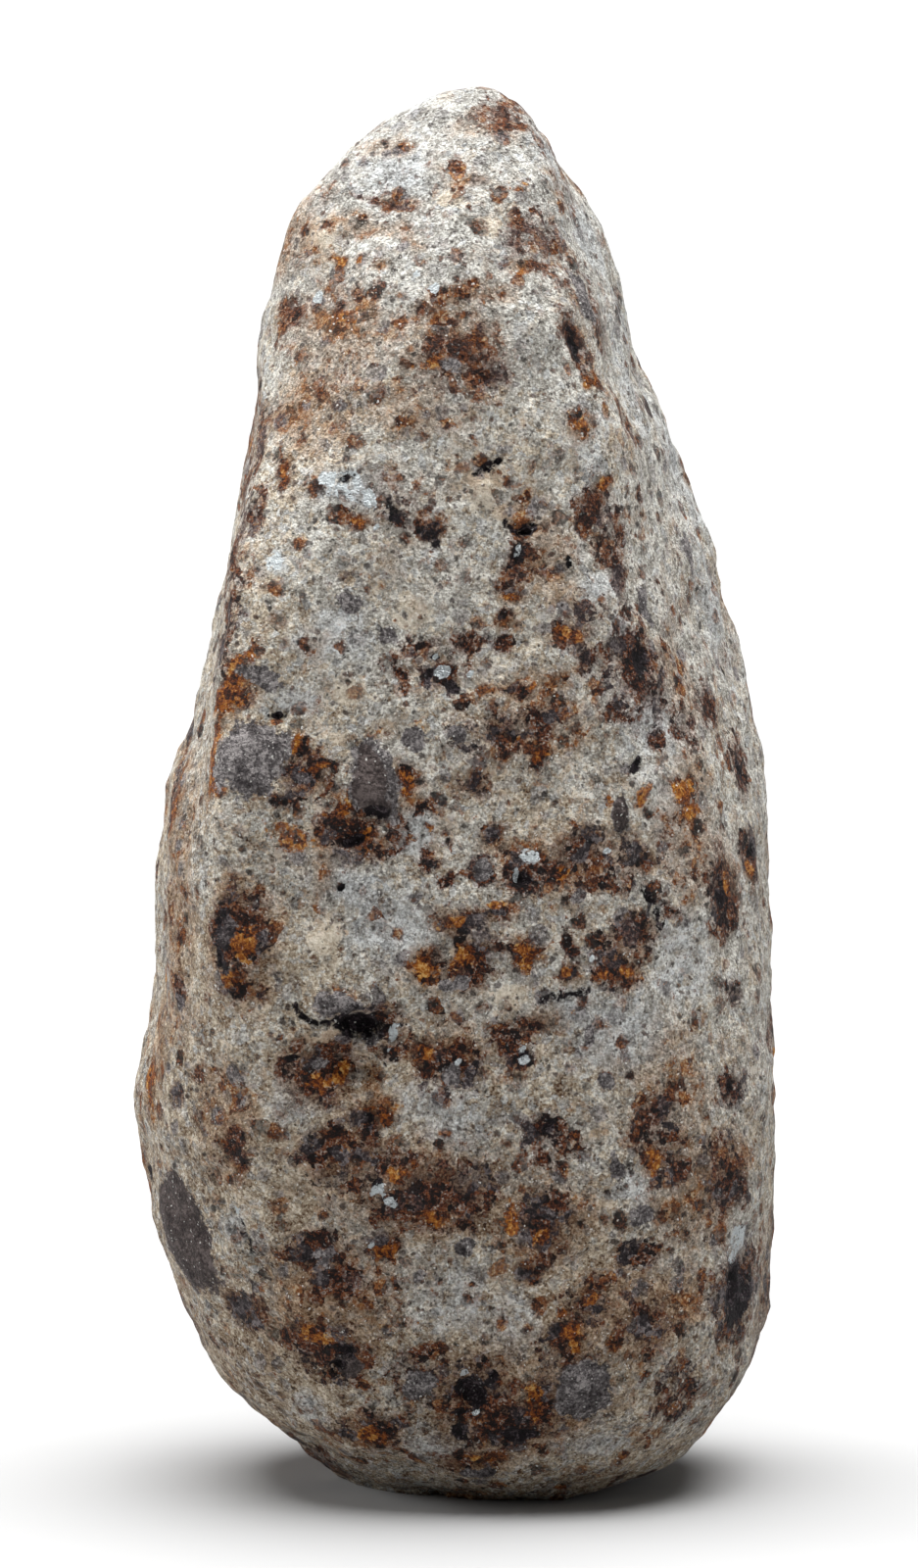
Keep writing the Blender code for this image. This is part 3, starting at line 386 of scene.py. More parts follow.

# Narrow cracks: a line through pixels, half its width and its depth in mm, and how black it is: the black is
# painted shade
CRACKS = [
    (
        [(300, 1026), (304, 1036), (313, 1041), (322, 1048), (334, 1045), (344, 1050), (356, 1044)],
        0.10, 0.12, 0.6,
    ),
    ([(380, 1050), (388, 1060), (400, 1062)], 0.10, 0.08, 0.3),
    ([(486, 484), (494, 482), (500, 474), (510, 470)], 0.10, 0.10, 0.2),
    ([(555, 1022), (566, 1016), (580, 1018), (598, 1010)], 0.09, 0.06, 0.0),
    ([(236, 1236), (246, 1252), (252, 1272), (260, 1290)], 0.10, 0.08, 0.0),
    ([(516, 534), (526, 542), (536, 541), (546, 536)], 0.10, 0.10, 0.2),
    ([(655, 906), (666, 922), (668, 934), (674, 944)], 0.10, 0.08, 0.1),
]
# How far a crack's black, which is painted shade, keeps inside its outline
CRACK_MARGIN = 0.1


def ray_through(x, y):
    """The direction in which the camera sees a pixel of the photograph."""
    across = CAMERA_RIGHT * (x - PHOTO_WIDTH / 2)
    up = CAMERA_UP * (PHOTO_HEIGHT / 2 - y)
    return (across + up - TO_CAMERA * FOCAL_PIXELS).normalized()


def evaluated(draft):
    graph = bpy.context.evaluated_depsgraph_get()
    mesh = bpy.data.meshes.new_from_object(draft.evaluated_get(graph))
    bpy.data.objects.remove(draft)
    return mesh


def linked_object(name, mesh):
    made = bpy.data.objects.new(name, mesh)
    bpy.context.scene.collection.objects.link(made)
    return made


def fine_mesh(node):
    """An even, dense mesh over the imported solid's surface, rounded between its corners, in millimetres."""
    mesh = node.data.copy()
    mesh.transform(Matrix.Scale(1 / MM, 4))
    welded = bmesh.new()
    welded.from_mesh(mesh)
    bmesh.ops.remove_doubles(welded, verts=welded.verts, dist=WELD_MM)
    welded.to_mesh(mesh)
    welded.free()
    draft = linked_object("rounded_draft", mesh)
    rounding = draft.modifiers.new("rounding", "SUBSURF")
    rounding.levels = rounding.render_levels = ROUNDING_LEVELS
    rounded = linked_object("rounded", evaluated(draft))
    draft = linked_object("even_draft", rounded.data.copy())
    even = draft.modifiers.new("even_faces", "REMESH")
    even.mode = "VOXEL"
    even.voxel_size = FACE_SIZE_MM
    calming = draft.modifiers.new("calming", "SMOOTH")
    calming.factor = CALMING_STRENGTH
    calming.iterations = CALMING_STEPS
    cling = draft.modifiers.new("cling", "SHRINKWRAP")
    cling.target = rounded
    fine = evaluated(draft)
    bpy.data.objects.remove(rounded)
    return fine


def vectors_of(mesh, what):
    flat = np.empty(len(mesh.vertices) * 3, np.float32)
    mesh.vertices.foreach_get(what, flat)
    return flat.reshape(-1, 3).astype(float)


def move(mesh, points):
    mesh.vertices.foreach_set("co", points.astype(np.float32).ravel())
    mesh.update()


def layered_noise(points, layers):
    height = np.zeros(len(points))
    for wavelength, amount in layers:
        height += [amount * noise.noise(Vector(p) / wavelength + RELIEF_OFFSET) for p in points]
    return height


def grain_noise(points, size, amount):
    """Rounded grains that stand proud, with narrow joints between them."""
    nearest = np.array([noise.voronoi(Vector(p) / size + RELIEF_OFFSET)[0][0] for p in points])
    return amount * (0.5 - nearest)


class Surface:
    """The stone's points and directions, and where the photograph's pixels fall on it."""

    def __init__(self, mesh):
        self.points = vectors_of(mesh, "co")
        self.outward = vectors_of(mesh, "normal")
        distance, amount = OUTLINE_WANDER
        wander = [noise.noise_vector(Vector(p) / distance - RELIEF_OFFSET) for p in self.points]
        self.bent = self.points + amount * np.array(wander)
        faces = [tuple(face.vertices) for face in mesh.polygons]
        self.tree = BVHTree.FromPolygons([Vector(p) for p in self.points], faces)

    def at_pixel(self, x, y):
        """The point under a pixel, or the nearest one on the stone's rim."""
        direction = ray_through(x, y)
        hit = self.tree.ray_cast(CAMERA_MM, direction)[0]
        if hit is not None:
            return np.array(hit)
        direction = np.array(direction)
        gap = self.points - np.array(CAMERA_MM)
        along = gap @ direction
        aside = np.linalg.norm(gap - along[:, None] * direction, axis=1)
        return self.points[np.argmin(aside)]

    def inside(self, centre, spot):
        """A spot's solidity at its centre, 0 at its outline and less outside, for every surface point."""
        widest = max(spot.wide, spot.high)
        reach = SPOT_REACH * widest + OUTLINE_WANDER[1]
        near = np.where((np.abs(self.points - centre) < reach).all(axis=1))[0]
        value = np.full(len(self.points), OUTSIDE)
        if len(near) == 0:
            return value
        middle = near[np.argmin(((self.points[near] - centre) ** 2).sum(axis=1))]
        normal = self.outward[middle]
        gap = self.bent[near] - self.bent[middle]
        across = np.cross((0.0, 0.0, 1.0), normal)
        length = np.linalg.norm(across)
        across = across / length if length > UPRIGHT else np.array((1.0, 0.0, 0.0))
        up = np.cross(normal, across)
        turn = math.radians(spot.turn)
        sides = (
            (gap @ (across * math.cos(turn) + up * math.sin(turn)), spot.wide),
            (gap @ (up * math.cos(turn) - across * math.sin(turn)), spot.high),
            (gap @ normal, SPOT_DEPTH * widest),
        )
        distance = sum(abs(side / half) ** spot.square for side, half in sides)
        within = 1 - distance ** (1 / spot.square)
        value[near] = np.clip(np.minimum(within, spot.solid * within), OUTSIDE, 1)
        return value

    def from_line(self, corners):
        """How far each point is from a line over the surface, and where along it, from 0 to 1."""
        nearest = np.full(len(self.points), np.inf)
        where = np.zeros(len(self.points))
        steps = len(corners) - 1
        for i, (start, end) in enumerate(zip(corners, corners[1:])):
            stretch = end - start
            share = np.clip((self.points - start) @ stretch / (stretch @ stretch), 0, 1)
            distance = np.linalg.norm(self.points - start - share[:, None] * stretch, axis=1)
            closer = distance < nearest
            nearest[closer] = distance[closer]
            where[closer] = (i + share[closer]) / steps
        return nearest, where


def scattered_spots(surface, chance):
    """Spots like the named ones, over the parts of the surface that the photograph doesn't show."""
    to_camera = np.array(CAMERA_MM) - surface.points
    to_camera /= np.linalg.norm(to_camera, axis=1)[:, None]
    hidden = np.where((surface.outward * to_camera).sum(axis=1) < UNSEEN_FACING)[0]
    narrowest, roundest = STRETCH_RANGE
    softest, hardest = SOLID_RANGE
    found = {}
    area = len(hidden) * FACE_SIZE_MM**2
    for kind, (density, smallest, largest) in SCATTERED.items():
        made = []
        for _ in range(int(density * area)):
            size = smallest + (largest - smallest) * chance.random() ** 2
            stretch = narrowest + (roundest - narrowest) * chance.random()
            turn = 180 * chance.random()
            solid = softest + (hardest - softest) * chance.random()
            if chance.random() < SOFT_SHARE and kind in SOFT_KINDS:
                size *= SOFT_WIDENING
                solid = SOFT_SOLID
            centre = surface.points[chance.choice(hidden)]
            made.append((centre, Spot(0, 0, size, size * stretch, turn, solid)))
        found[kind] = made
    return found


def named_spots(surface):
    lists = {
        "black": BLACK_SPOTS,
        "dark": DARK_SPOTS,
        "rust": RUST_SPOTS,
        "ochre": OCHRE_SPOTS,
        "clast": CLAST_SPOTS,
        "slate": SLATE_SPOTS,
        "haze": HAZE_SPOTS,
        "cream": CREAM_SPOTS,
        "metal": METAL_SPOTS,
    }
    return {kind: [(surface.at_pixel(s.x, s.y), s) for s in spots] for kind, spots in lists.items()}


def crease_height(surface):
    """The ridges of the form: each rises to an edge along its line, and fades at both ends."""
    height = np.zeros(len(surface.points))
    for pixels, rise, half_width in CREASES:
        corners = [surface.at_pixel(x, y) for x, y in pixels]
        distance, where = surface.from_line(corners)
        fade = np.clip(np.minimum(where, 1 - where) / CREASE_FADE, 0, 1)
        height += rise * fade * np.clip(1 - distance / half_width, 0, 1)
    return height


def raised(inside):
    """A form's share of its height: none at its outline, and all of it from halfway to its centre."""
    return np.clip(2 * inside, 0, 1)


def sculpt(mesh):
    """Works the relief, the spots and the pits into the mesh, and keeps where each kind of spot lies."""
    noise.seed_set(SEED)
    surface = Surface(mesh)
    chance = np.random.default_rng(SEED)
    named = named_spots(surface)
    scattered = scattered_spots(surface, chance)
    height = layered_noise(surface.points, RELIEF_LAYERS)
    height += grain_noise(surface.points, *GRAIN_RELIEF)
    height += crease_height(surface)
    fields = {}
    for kind in named:
        field = np.full(len(surface.points), OUTSIDE)
        for centre, spot in named[kind] + scattered[kind]:
            field = np.maximum(field, surface.inside(centre, spot))
        fields[kind] = field
        height += KIND_HEIGHT[kind] * raised(field)
    for pixels, half_width, depth, solid in CRACKS:
        distance = surface.from_line([surface.at_pixel(x, y) for x, y in pixels])[0]
        inside = np.clip(1 - distance / half_width, OUTSIDE, 1)
        # A crack's black is painted shade in the crack
        fields["black"] = np.maximum(fields["black"], np.minimum(inside, solid * inside - CRACK_MARGIN))
        height -= depth * raised(inside)
    for sign, shapes in ((-1, PITS), (1, LEDGES)):
        for spot, amount in shapes:
            inside = surface.inside(surface.at_pixel(spot.x, spot.y), spot)
            height += sign * amount * raised(inside)
    points = surface.points + surface.outward * height[:, None]
    resting = surface.points[:, 2] < UNDERSIDE_MM
    points[resting, 2] = 0.0
    points[:, 2] = np.maximum(points[:, 2], 0.0)
    move(mesh, points * MM)
    for kind, field in fields.items():
        layer = mesh.attributes.new(kind, "FLOAT", "POINT")
        layer.data.foreach_set("value", field.astype(np.float32))


class Graph:
    """Adds shader nodes to a material, and links them."""

    def __init__(self, material):
        material.use_nodes = True
        self.tree = material.node_tree
        self.shader = self.tree.nodes["Principled BSDF"]

    def link(self, source, socket):
        if isinstance(source, bpy.types.NodeSocket):
            self.tree.links.new(source, socket)
        else:
            socket.default_value = source

    def node(self, kind, inputs=None, **settings):
        made = self.tree.nodes.new(kind)
        for name, value in settings.items():
            setattr(made, name, value)
        for name, value in (inputs or {}).items():
            self.link(value, made.inputs[name])
        return made

    def math(self, operation, *values, clamp=False):
        made = self.node("ShaderNodeMath", dict(enumerate(values)), operation=operation, use_clamp=clamp)
        return made.outputs[0]

    def vector(self, operation, *values):
        made = self.node("ShaderNodeVectorMath", dict(enumerate(values)), operation=operation)
        return made.outputs[0]

    def noise(self, place, size, detail=2.0, roughness=0.5, output="Fac"):
        inputs = {"Vector": place, "Scale": 1 / size, "Detail": detail, "Roughness": roughness}
        return self.node("ShaderNodeTexNoise", inputs).outputs[output]

    def cells(self, place, size):
        return self.node("ShaderNodeTexVoronoi", {"Vector": place, "Scale": 1 / size})

    def scaled(self, vector, amount):
        return self.node("ShaderNodeVectorMath", {0: vector, "Scale": amount}, operation="SCALE").outputs[0]

    def channels(self, colour):
        return self.node("ShaderNodeSeparateColor", {"Color": colour}).outputs

    def total(self, *terms):
        """The sum of values, each times its own weight."""
        result = 0.0
        for value, weight in terms:
            result = self.math("MULTIPLY_ADD", value, weight, result)
        return result

    def spread(self, value, low, high, to_low=0.0, to_high=1.0):
        """Maps low..high to to_low..to_high, held at the ends."""
        inputs = {"Value": value, "From Min": low, "From Max": high, "To Min": to_low, "To Max": to_high}
        return self.node("ShaderNodeMapRange", inputs).outputs["Result"]

    def ramp(self, value, stops):
        made = self.node("ShaderNodeValToRGB", {"Fac": value})
        while len(made.color_ramp.elements) < len(stops):
            made.color_ramp.elements.new(0.5)
        for element, (position, colour) in zip(made.color_ramp.elements, stops):
            element.position = position
            element.color = (*colour, 1.0)
        return made.outputs["Color"]

    def mix(self, share, first, second, blend="MIX"):
        made = self.node("ShaderNodeMix", data_type="RGBA", blend_type=blend)
        self.link(share, made.inputs["Factor"])
        for value, socket in ((first, made.inputs["A"]), (second, made.inputs["B"])):
            self.link((*value, 1.0) if isinstance(value, tuple) else value, socket)
        return made.outputs["Result"]

    def field(self, name):
        return self.node("ShaderNodeAttribute", attribute_name=name).outputs["Fac"]


# The material's textures: the size in mm of each kind of grain and noise
FINE_GRAIN_SIZE = 0.055
COARSE_GRAIN_SIZE = 0.150
CRUMB_SIZE = 0.42
WANDER_SIZE = 0.35
WANDER_REACH = 0.24
RAGGED_SIZE = 0.30
MIDDLING_SIZE = 0.85
PATCH_SIZE = 2.3
POWDER_SIZE = 0.060
BUMP_SIZE = 0.14
BUMP_HEIGHT = 2.2
BUMP_DEPTH = 0.10
SPECULAR_LEVEL = 0.16

# Colours of the mineral grains, from the darkest to the lightest, as linear red, green and blue
SAGE_GRAINS = [
    (0.00, (0.034, 0.026, 0.023)), (0.22, (0.140, 0.124, 0.106)), (0.50, (0.295, 0.276, 0.240)),
    (0.75, (0.435, 0.418, 0.375)), (1.00, (0.740, 0.720, 0.660)),
]
TAN_GRAINS = [
    (0.00, (0.030, 0.010, 0.004)), (0.22, (0.125, 0.072, 0.038)), (0.50, (0.290, 0.228, 0.160)),
    (0.75, (0.430, 0.368, 0.280)), (1.00, (0.700, 0.620, 0.500)),
]
HAZE_GRAINS = [
    (0.00, (0.060, 0.060, 0.062)), (0.30, (0.200, 0.200, 0.198)), (0.60, (0.350, 0.358, 0.354)),
    (1.00, (0.640, 0.660, 0.670)),
]
DARK_GRAINS = [
    (0.00, (0.002, 0.001, 0.001)), (0.34, (0.009, 0.003, 0.002)), (0.48, (0.030, 0.009, 0.005)),
    (0.60, (0.085, 0.022, 0.008)), (0.71, (0.175, 0.050, 0.011)), (0.82, (0.095, 0.070, 0.060)),
    (1.00, (0.360, 0.290, 0.240)),
]
RUST_GRAINS = [
    (0.00, (0.010, 0.003, 0.002)), (0.30, (0.048, 0.013, 0.005)), (0.52, (0.125, 0.036, 0.010)),
    (0.72, (0.240, 0.080, 0.018)), (0.88, (0.300, 0.170, 0.075)), (1.00, (0.440, 0.340, 0.220)),
]
OCHRE_GRAINS = [
    (0.00, (0.012, 0.004, 0.002)), (0.28, (0.085, 0.018, 0.003)), (0.50, (0.220, 0.056, 0.006)),
    (0.75, (0.360, 0.130, 0.014)), (1.00, (0.520, 0.300, 0.080)),
]
CLAST_GRAINS = [
    (0.00, (0.008, 0.006, 0.007)), (0.42, (0.050, 0.043, 0.044)), (0.72, (0.118, 0.106, 0.106)),
    (1.00, (0.300, 0.276, 0.270)),
]
MAUVE_GRAINS = [
    (0.00, (0.004, 0.003, 0.004)), (0.50, (0.036, 0.027, 0.029)), (1.00, (0.190, 0.165, 0.165)),
]
SLATE_GRAINS = [(0.00, (0.012, 0.008, 0.008)), (0.60, (0.050, 0.038, 0.036)), (1.00, (0.130, 0.104, 0.098))]
# Black grains, also used as painted shade in the pits and cracks
BLACK_GRAINS = [(0.00, (0.001, 0.001, 0.001)), (0.62, (0.010, 0.006, 0.008)), (1.00, (0.085, 0.068, 0.074))]
CREAM_GRAINS = [(0.00, (0.300, 0.235, 0.165)), (0.50, (0.560, 0.480, 0.365)), (1.00, (0.760, 0.680, 0.560))]
METAL_COLOUR = (0.42, 0.45, 0.46)

# What the soft stains multiply the ground by
# The stain tint also darkens the foot, partly as painted shade on the underside
STAIN_AND_FOOT_SHADE_TINT = (0.58, 0.36, 0.21)
WINE_TINT = (0.33, 0.190, 0.155)
CLOUD_TINT = (0.52, 0.43, 0.36)

SPECK_COLOUR = (0.014, 0.008, 0.006)
# A painted highlight: the pale colour of the glints painted into single fine grains
PAINTED_GLINT_COLOUR = (0.74, 0.73, 0.69)


class StoneTextures:
    """The grains, the noises and the spots' shares from which the stone's colour is mixed."""

    def __init__(self, graph):
        self.graph = graph
        self.place = graph.scaled(graph.node("ShaderNodeTexCoord").outputs["Object"], 1 / MM)
        self.add_grains()
        self.add_noises()
        self.add_places()
        self.add_mixtures()
        self.haze = self.mask("haze", 0.9, 0.8)
        self.stain_and_foot_shade = self.soft_stain_and_foot_shade()
        self.dark = self.mask("dark", 1.3, 0.24, self.dark_outline())
        self.metal = self.mask("metal", 0.7, 0.12)

    def add_grains(self):
        """Cells of three sizes, each with three random values, in a bent place that makes them ragged."""
        graph = self.graph
        wander = graph.noise(self.place, WANDER_SIZE, 3, 0.78, output="Color")
        wander = graph.vector("SUBTRACT", wander, (0.5, 0.5, 0.5))
        bent = graph.vector("ADD", self.place, graph.scaled(wander, WANDER_REACH))
        self.fine = graph.cells(bent, FINE_GRAIN_SIZE)
        self.coarse = graph.cells(bent, COARSE_GRAIN_SIZE)
        self.crumbs = graph.cells(bent, CRUMB_SIZE)
        self.fine_a, self.fine_b, self.fine_c = graph.channels(self.fine.outputs["Color"])
        self.coarse_a, self.coarse_b, self.coarse_c = graph.channels(self.coarse.outputs["Color"])
        self.crumb_a, self.crumb_b, self.crumb_c = graph.channels(self.crumbs.outputs["Color"])

    def add_noises(self):
        graph = self.graph
        self.ragged = graph.math("SUBTRACT", graph.noise(self.place, RAGGED_SIZE, 4, 0.62), 0.5)
        self.middling = graph.noise(self.place, MIDDLING_SIZE, 3, 0.6)
        self.patches = graph.noise(self.place, PATCH_SIZE, 3)
        self.powder = graph.noise(self.place, POWDER_SIZE, 2, 0.7)

    def add_places(self):
        """How low, how near the top and how far to each side a point lies, from its place in mm."""
        graph = self.graph
        across, _, height = graph.node("ShaderNodeSeparateXYZ", {"Vector": self.place}).outputs
        self.lowness = graph.spread(height, 2.0, 22.0, 1.0, 0.0)
        self.near_foot = graph.spread(height, 0.0, 8.0, 0.20, 0.0)
        self.near_top = graph.spread(height, 17.0, 25.0)
        self.crown = graph.spread(height, 24.0, 28.5)
        self.leftness = graph.spread(across, -5.5, -2.0, 1.0, 0.0)
        self.rightness = graph.spread(across, 2.5, 6.0)

    def add_mixtures(self):
        """How light each grain is, which mineral it is, and the jitter that frays the spots' outlines."""
        total = self.graph.total
        grain = total((self.fine_a, 0.36), (self.coarse_a, 0.28), (self.ragged, 1.3), (self.middling, 0.8))
        # Grains are darker towards the bottom: partly the stone's own tone, partly painted shade on the
        # underside
        grain = total((grain, 1.0), (self.powder, 1.6), (self.lowness, -0.18), (self.rightness, 0.05))
        self.grain = total((grain, 1.0), (self.near_top, 0.01), (-0.77, 1.0))
        mineral = total((self.fine_b, 0.45), (self.coarse_b, 0.65), (self.ragged, 0.7), (self.powder, 1.2))
        self.mineral = total((mineral, 1.0), (-0.70, 1.0))
        jitter = total((self.ragged, 1.7), (self.crumb_b, 0.45), (self.coarse_c, 0.42), (self.fine_c, 0.22))
        self.jitter = total((jitter, 1.0), (-0.54, 1.0))

    def mask(self, kind, fraying, edge, outline=None):
        """A kind of spot's share of the colour, from its field or from an outline made of it."""
        graph = self.graph
        value = graph.math("MULTIPLY_ADD", self.jitter, fraying, outline or graph.field(kind))
        return graph.spread(value, -edge / 2, edge / 2)

    def soft_stain_and_foot_shade(self):
        graph = self.graph
        # The stain deepens near the foot: partly the stone's own brown, partly painted shade on the
        # underside
        reach = graph.total((self.jitter, 0.7), (graph.field("rust"), 1.0), (self.near_foot, 1.0))
        return graph.spread(reach, -0.45, 0.60)

    def dark_outline(self):
        """The dark spots' field, drawn in a little, and more near the top."""
        return self.graph.total((self.graph.field("dark"), 1.0), (self.near_top, -0.28), (-0.10, 1.0))

    def minerals(self, stops):
        return self.graph.ramp(self.mineral, stops)

    def grains(self, stops):
        return self.graph.ramp(self.grain, stops)


def ground_colour(graph, stone):
    """The fine mixture of sage, tan and cool grains, with its hazy and its cream patches; cooler and paler
    at the crown, partly painted light.
    """
    # The hue turns a darker tan towards the bottom: partly the stone's own tone, partly painted shade on the
    # underside
    hue = graph.total(
        (stone.patches, 1.1), (stone.coarse_b, 0.42), (stone.fine_b, 0.34), (stone.lowness, 0.28),
        (stone.leftness, 0.16), (-0.61, 1.0))
    hue = graph.total((hue, 1.0), (stone.rightness, -0.12), (stone.crown, -0.16))
    cool = stone.grains(HAZE_GRAINS)
    colour = graph.mix(graph.spread(hue, 0.36, 0.64), stone.grains(SAGE_GRAINS), stone.grains(TAN_GRAINS))
    # Cooler and paler at the crown: partly the stone's own tone, partly painted light on the top
    cool_share = graph.total((graph.spread(stone.coarse_c, 0.82, 0.90), 0.6), (stone.crown, 0.24))
    colour = graph.mix(cool_share, colour, cool)
    colour = graph.mix(graph.math("MULTIPLY", stone.haze, 0.75), colour, cool)
    cream = stone.mask("cream", 0.8, 0.3)
    return graph.mix(graph.math("MULTIPLY", cream, 0.8), colour, stone.grains(CREAM_GRAINS))


def tinted(graph, share, colour, tint):
    return graph.mix(share, colour, graph.mix(1.0, colour, tint, "MULTIPLY"))


def with_stains(graph, stone, colour):
    """Soft stains that darken the ground without hiding its grains: brown clouds, rust and wine-brown; the
    rust stain deepens at the foot, partly as painted shade.
    """
    clouds = graph.total((stone.middling, 1.0), (stone.jitter, 0.14), (stone.haze, -0.06))
    colour = tinted(graph, graph.spread(clouds, 0.50, 0.68, 0.0, 0.85), colour, CLOUD_TINT)
    colour = tinted(graph, stone.stain_and_foot_shade, colour, STAIN_AND_FOOT_SHADE_TINT)
    wine = graph.total((stone.jitter, 0.8), (graph.field("dark"), 1.0), (stone.near_top, -0.14))
    return tinted(graph, graph.spread(wine, -0.36, 0.30), colour, WINE_TINT)


def with_crumbs(graph, stone, colour):
    """Single crumbs of rust, dark and grey mineral over the ground, and small dark seeds between them."""
    size = graph.spread(stone.crumb_a, 0.0, 0.85, 0.62, 0.16)
    size = graph.total((size, 1.0), (stone.ragged, 0.9), (stone.crumbs.outputs["Distance"], -1.0))
    strength = graph.total((stone.crumb_b, 0.5), (stone.middling, 1.6), (stone.stain_and_foot_shade, 0.4))
    strength = graph.spread(strength, 0.80, 1.30, 0.20, 0.95)
    share = graph.math("MULTIPLY", graph.spread(size, -0.05, 0.12), strength)
    dark = stone.minerals(DARK_GRAINS)
    crumb = graph.mix(graph.spread(stone.crumb_c, 0.28, 0.32), stone.minerals(RUST_GRAINS), dark)
    crumb = graph.mix(graph.spread(stone.crumb_c, 0.66, 0.70), crumb, stone.grains(CLAST_GRAINS))
    colour = graph.mix(share, colour, crumb)
    seed_size = graph.spread(stone.coarse_c, 0.0, 0.30, 0.62, 0.0)
    seed = graph.total((seed_size, 1.0), (stone.coarse.outputs["Distance"], -1.0))
    seed = graph.spread(seed, 0.0, 0.2, 0.0, 0.8)
    return graph.mix(seed, colour, graph.mix(stone.coarse_a, dark, stone.grains(SLATE_GRAINS)))


def with_spots(graph, stone, colour):
    """The spots in layers, rust lowest and metal uppermost. Rust and dark are more sheer near the top."""
    halo = graph.math("ADD", graph.field("dark"), graph.spread(stone.middling, 0.38, 0.62, -0.50, 0.10))
    outline = graph.math("MAXIMUM", graph.math("SUBTRACT", graph.field("rust"), 0.40), halo)
    rust = stone.mask("rust", 1.4, 0.30, outline)
    opacity = graph.spread(stone.near_top, 0.0, 1.0, 0.9, 0.66)
    colour = graph.mix(graph.math("MULTIPLY", rust, opacity), colour, stone.minerals(RUST_GRAINS))

    mauve = graph.total((stone.crumb_c, 1.0), (stone.patches, 0.6))
    mauve = graph.spread(mauve, 0.98, 1.10)
    dark_colour = graph.mix(mauve, stone.minerals(DARK_GRAINS), stone.minerals(MAUVE_GRAINS))
    dark_opacity = graph.spread(stone.near_top, 0.0, 1.0, 1.0, 0.72)
    colour = graph.mix(graph.math("MULTIPLY", stone.dark, dark_opacity), colour, dark_colour)

    ochre = stone.mask("ochre", 1.1, 0.25)
    colour = graph.mix(graph.math("MULTIPLY", ochre, opacity), colour, stone.minerals(OCHRE_GRAINS))
    colour = graph.mix(stone.mask("clast", 0.45, 0.10), colour, stone.grains(CLAST_GRAINS))
    colour = graph.mix(stone.mask("slate", 0.30, 0.08), colour, stone.grains(SLATE_GRAINS))
    # Black: black grains, and painted shade in the pits and cracks
    colour = graph.mix(stone.mask("black", 0.8, 0.2), colour, stone.minerals(BLACK_GRAINS))
    return graph.mix(stone.metal, colour, METAL_COLOUR)


def with_specks_and_painted_glints(graph, stone, colour):
    """Tiny dark specks in single fine grains, and pale glints there that are painted highlights, weaker on
    dark ground.
    """
    distance = stone.fine.outputs["Distance"]
    speck = graph.total((graph.spread(stone.fine_c, 0.0, 0.14, 0.60, 0.0), 1.0), (distance, -1.0))
    colour = graph.mix(graph.spread(speck, 0.0, 0.2, 0.0, 0.8), colour, SPECK_COLOUR)
    # Painted highlights: pale glints painted into single fine grains
    painted_glint = graph.total((graph.spread(stone.fine_c, 0.90, 1.0, 0.0, 0.60), 1.0), (distance, -1.0))
    painted_glint = graph.spread(painted_glint, 0.0, 0.2, 0.0, 0.75)
    painted_glint = graph.math("MULTIPLY", painted_glint, graph.spread(stone.dark, 0.0, 1.0, 1.0, 0.25))
    return graph.mix(painted_glint, colour, PAINTED_GLINT_COLOUR)


def stone_material():
    material = bpy.data.materials.new("chondrite")
    graph = Graph(material)
    stone = StoneTextures(graph)
    colour = ground_colour(graph, stone)
    for layer in (with_stains, with_crumbs, with_spots, with_specks_and_painted_glints):
        colour = layer(graph, stone, colour)
    roughness = graph.total((stone.fine_a, 0.2), (stone.dark, -0.15), (stone.metal, -0.3), (0.66, 1.0))
    bumps = graph.math("MULTIPLY", graph.noise(stone.place, BUMP_SIZE, 3, 0.78), BUMP_HEIGHT)
    bump = graph.node("ShaderNodeBump", {"Height": bumps, "Strength": 0.8, "Distance": BUMP_DEPTH * MM})
    inputs = graph.shader.inputs
    graph.link(colour, inputs["Base Color"])
    graph.link(roughness, inputs["Roughness"])
    graph.link(graph.math("MULTIPLY", stone.metal, 0.7), inputs["Metallic"])
    graph.link(bump.outputs["Normal"], inputs["Normal"])
    inputs["Specular IOR Level"].default_value = SPECULAR_LEVEL
    return material


def make_stone():
    mesh = fine_mesh(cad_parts[NODE])
    sculpt(mesh)
    mesh.materials.clear()
    mesh.materials.append(stone_material())
    mesh.shade_smooth()
    stone = bpy.data.objects.new("chondrite", mesh)
    bpy.context.scene.collection.objects.link(stone)
    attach(stone, "root")
    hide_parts(NODE)
    return stone


FLOOR_HALF_WIDTH = 2.0
FLOOR_COLOUR = (0.41, 0.41, 0.41, 1.0)
FLOOR_ROUGHNESS = 0.9


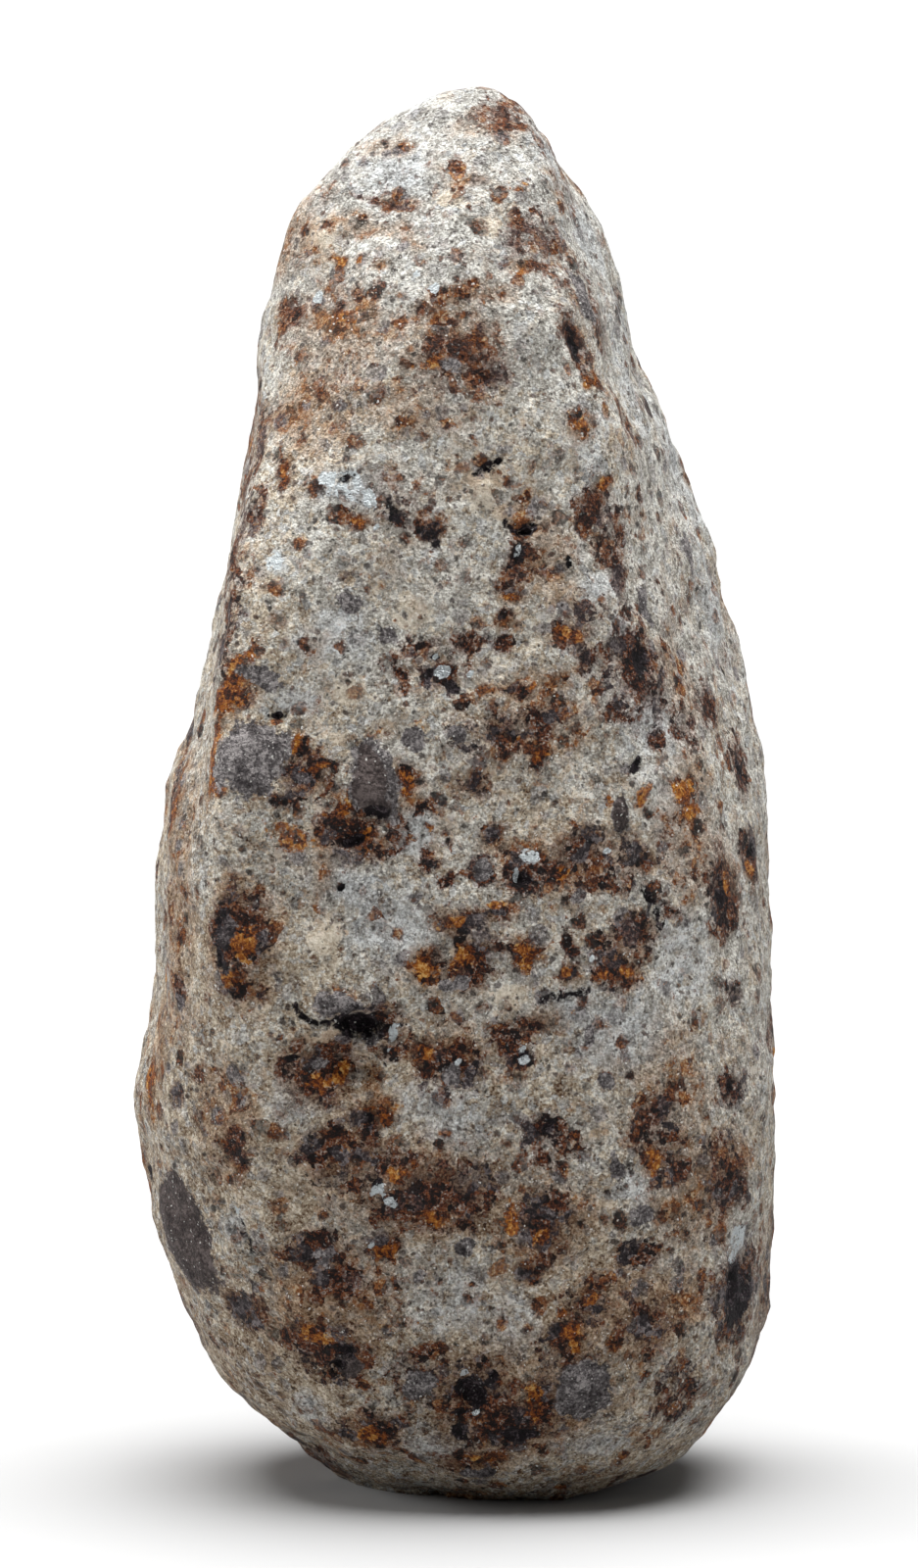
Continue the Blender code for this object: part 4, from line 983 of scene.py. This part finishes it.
def make_floor():
    w = FLOOR_HALF_WIDTH
    mesh = bpy.data.meshes.new("floor")
    mesh.from_pydata([(-w, -w, 0), (w, -w, 0), (w, w, 0), (-w, w, 0)], [], [(0, 1, 2, 3)])
    floor = bpy.data.objects.new("floor", mesh)
    bpy.context.scene.collection.objects.link(floor)
    material = bpy.data.materials.new("pale_floor")
    shader = Graph(material).shader
    shader.inputs["Base Color"].default_value = FLOOR_COLOUR
    shader.inputs["Roughness"].default_value = FLOOR_ROUGHNESS
    mesh.materials.append(material)


LIGHT_AIM = (0.0, 0.0, 0.015)
SURROUNDINGS_COLOUR = (0.98, 0.99, 1.0, 1.0)
SURROUNDINGS_STRENGTH = 0.12


def area_light(name, place, width, power):
    """A round light that points at the stone's middle, with its width in metres and its power in watts."""
    data = bpy.data.lights.new(name, "AREA")
    data.shape = "DISK"
    data.size = width
    data.energy = power
    light = bpy.data.objects.new(name, data)
    light.location = place
    light.rotation_euler = (Vector(LIGHT_AIM) - Vector(place)).to_track_quat("-Z", "Y").to_euler()
    bpy.context.scene.collection.objects.link(light)


def make_light():
    area_light("overhead", place=(0.0, 0.05, 1.5), width=1.8, power=74)
    area_light("left", place=(-2.0, 0.45, 0.6), width=1.2, power=26)
    area_light("right", place=(2.0, 0.5, 0.6), width=1.2, power=3)
    world = bpy.data.worlds.new("white_surroundings")
    world.use_nodes = True
    background = world.node_tree.nodes["Background"]
    background.inputs["Color"].default_value = SURROUNDINGS_COLOUR
    background.inputs["Strength"].default_value = SURROUNDINGS_STRENGTH
    bpy.context.scene.world = world


def make_camera():
    data = bpy.data.cameras.new("camera")
    data.sensor_fit = "AUTO"
    data.sensor_width = SENSOR_MM
    data.lens = LENS_MM
    data.clip_start = NEAREST_SEEN
    data.clip_end = FARTHEST_SEEN
    camera = bpy.data.objects.new("camera", data)
    camera.location = CAMERA_MM * MM
    camera.rotation_euler = (-TO_CAMERA).to_track_quat("-Z", "Y").to_euler()
    bpy.context.scene.collection.objects.link(camera)
    bpy.context.scene.camera = camera


make_camera()
make_stone()
make_floor()
make_light()
bpy.context.scene.view_settings.view_transform = "Standard"
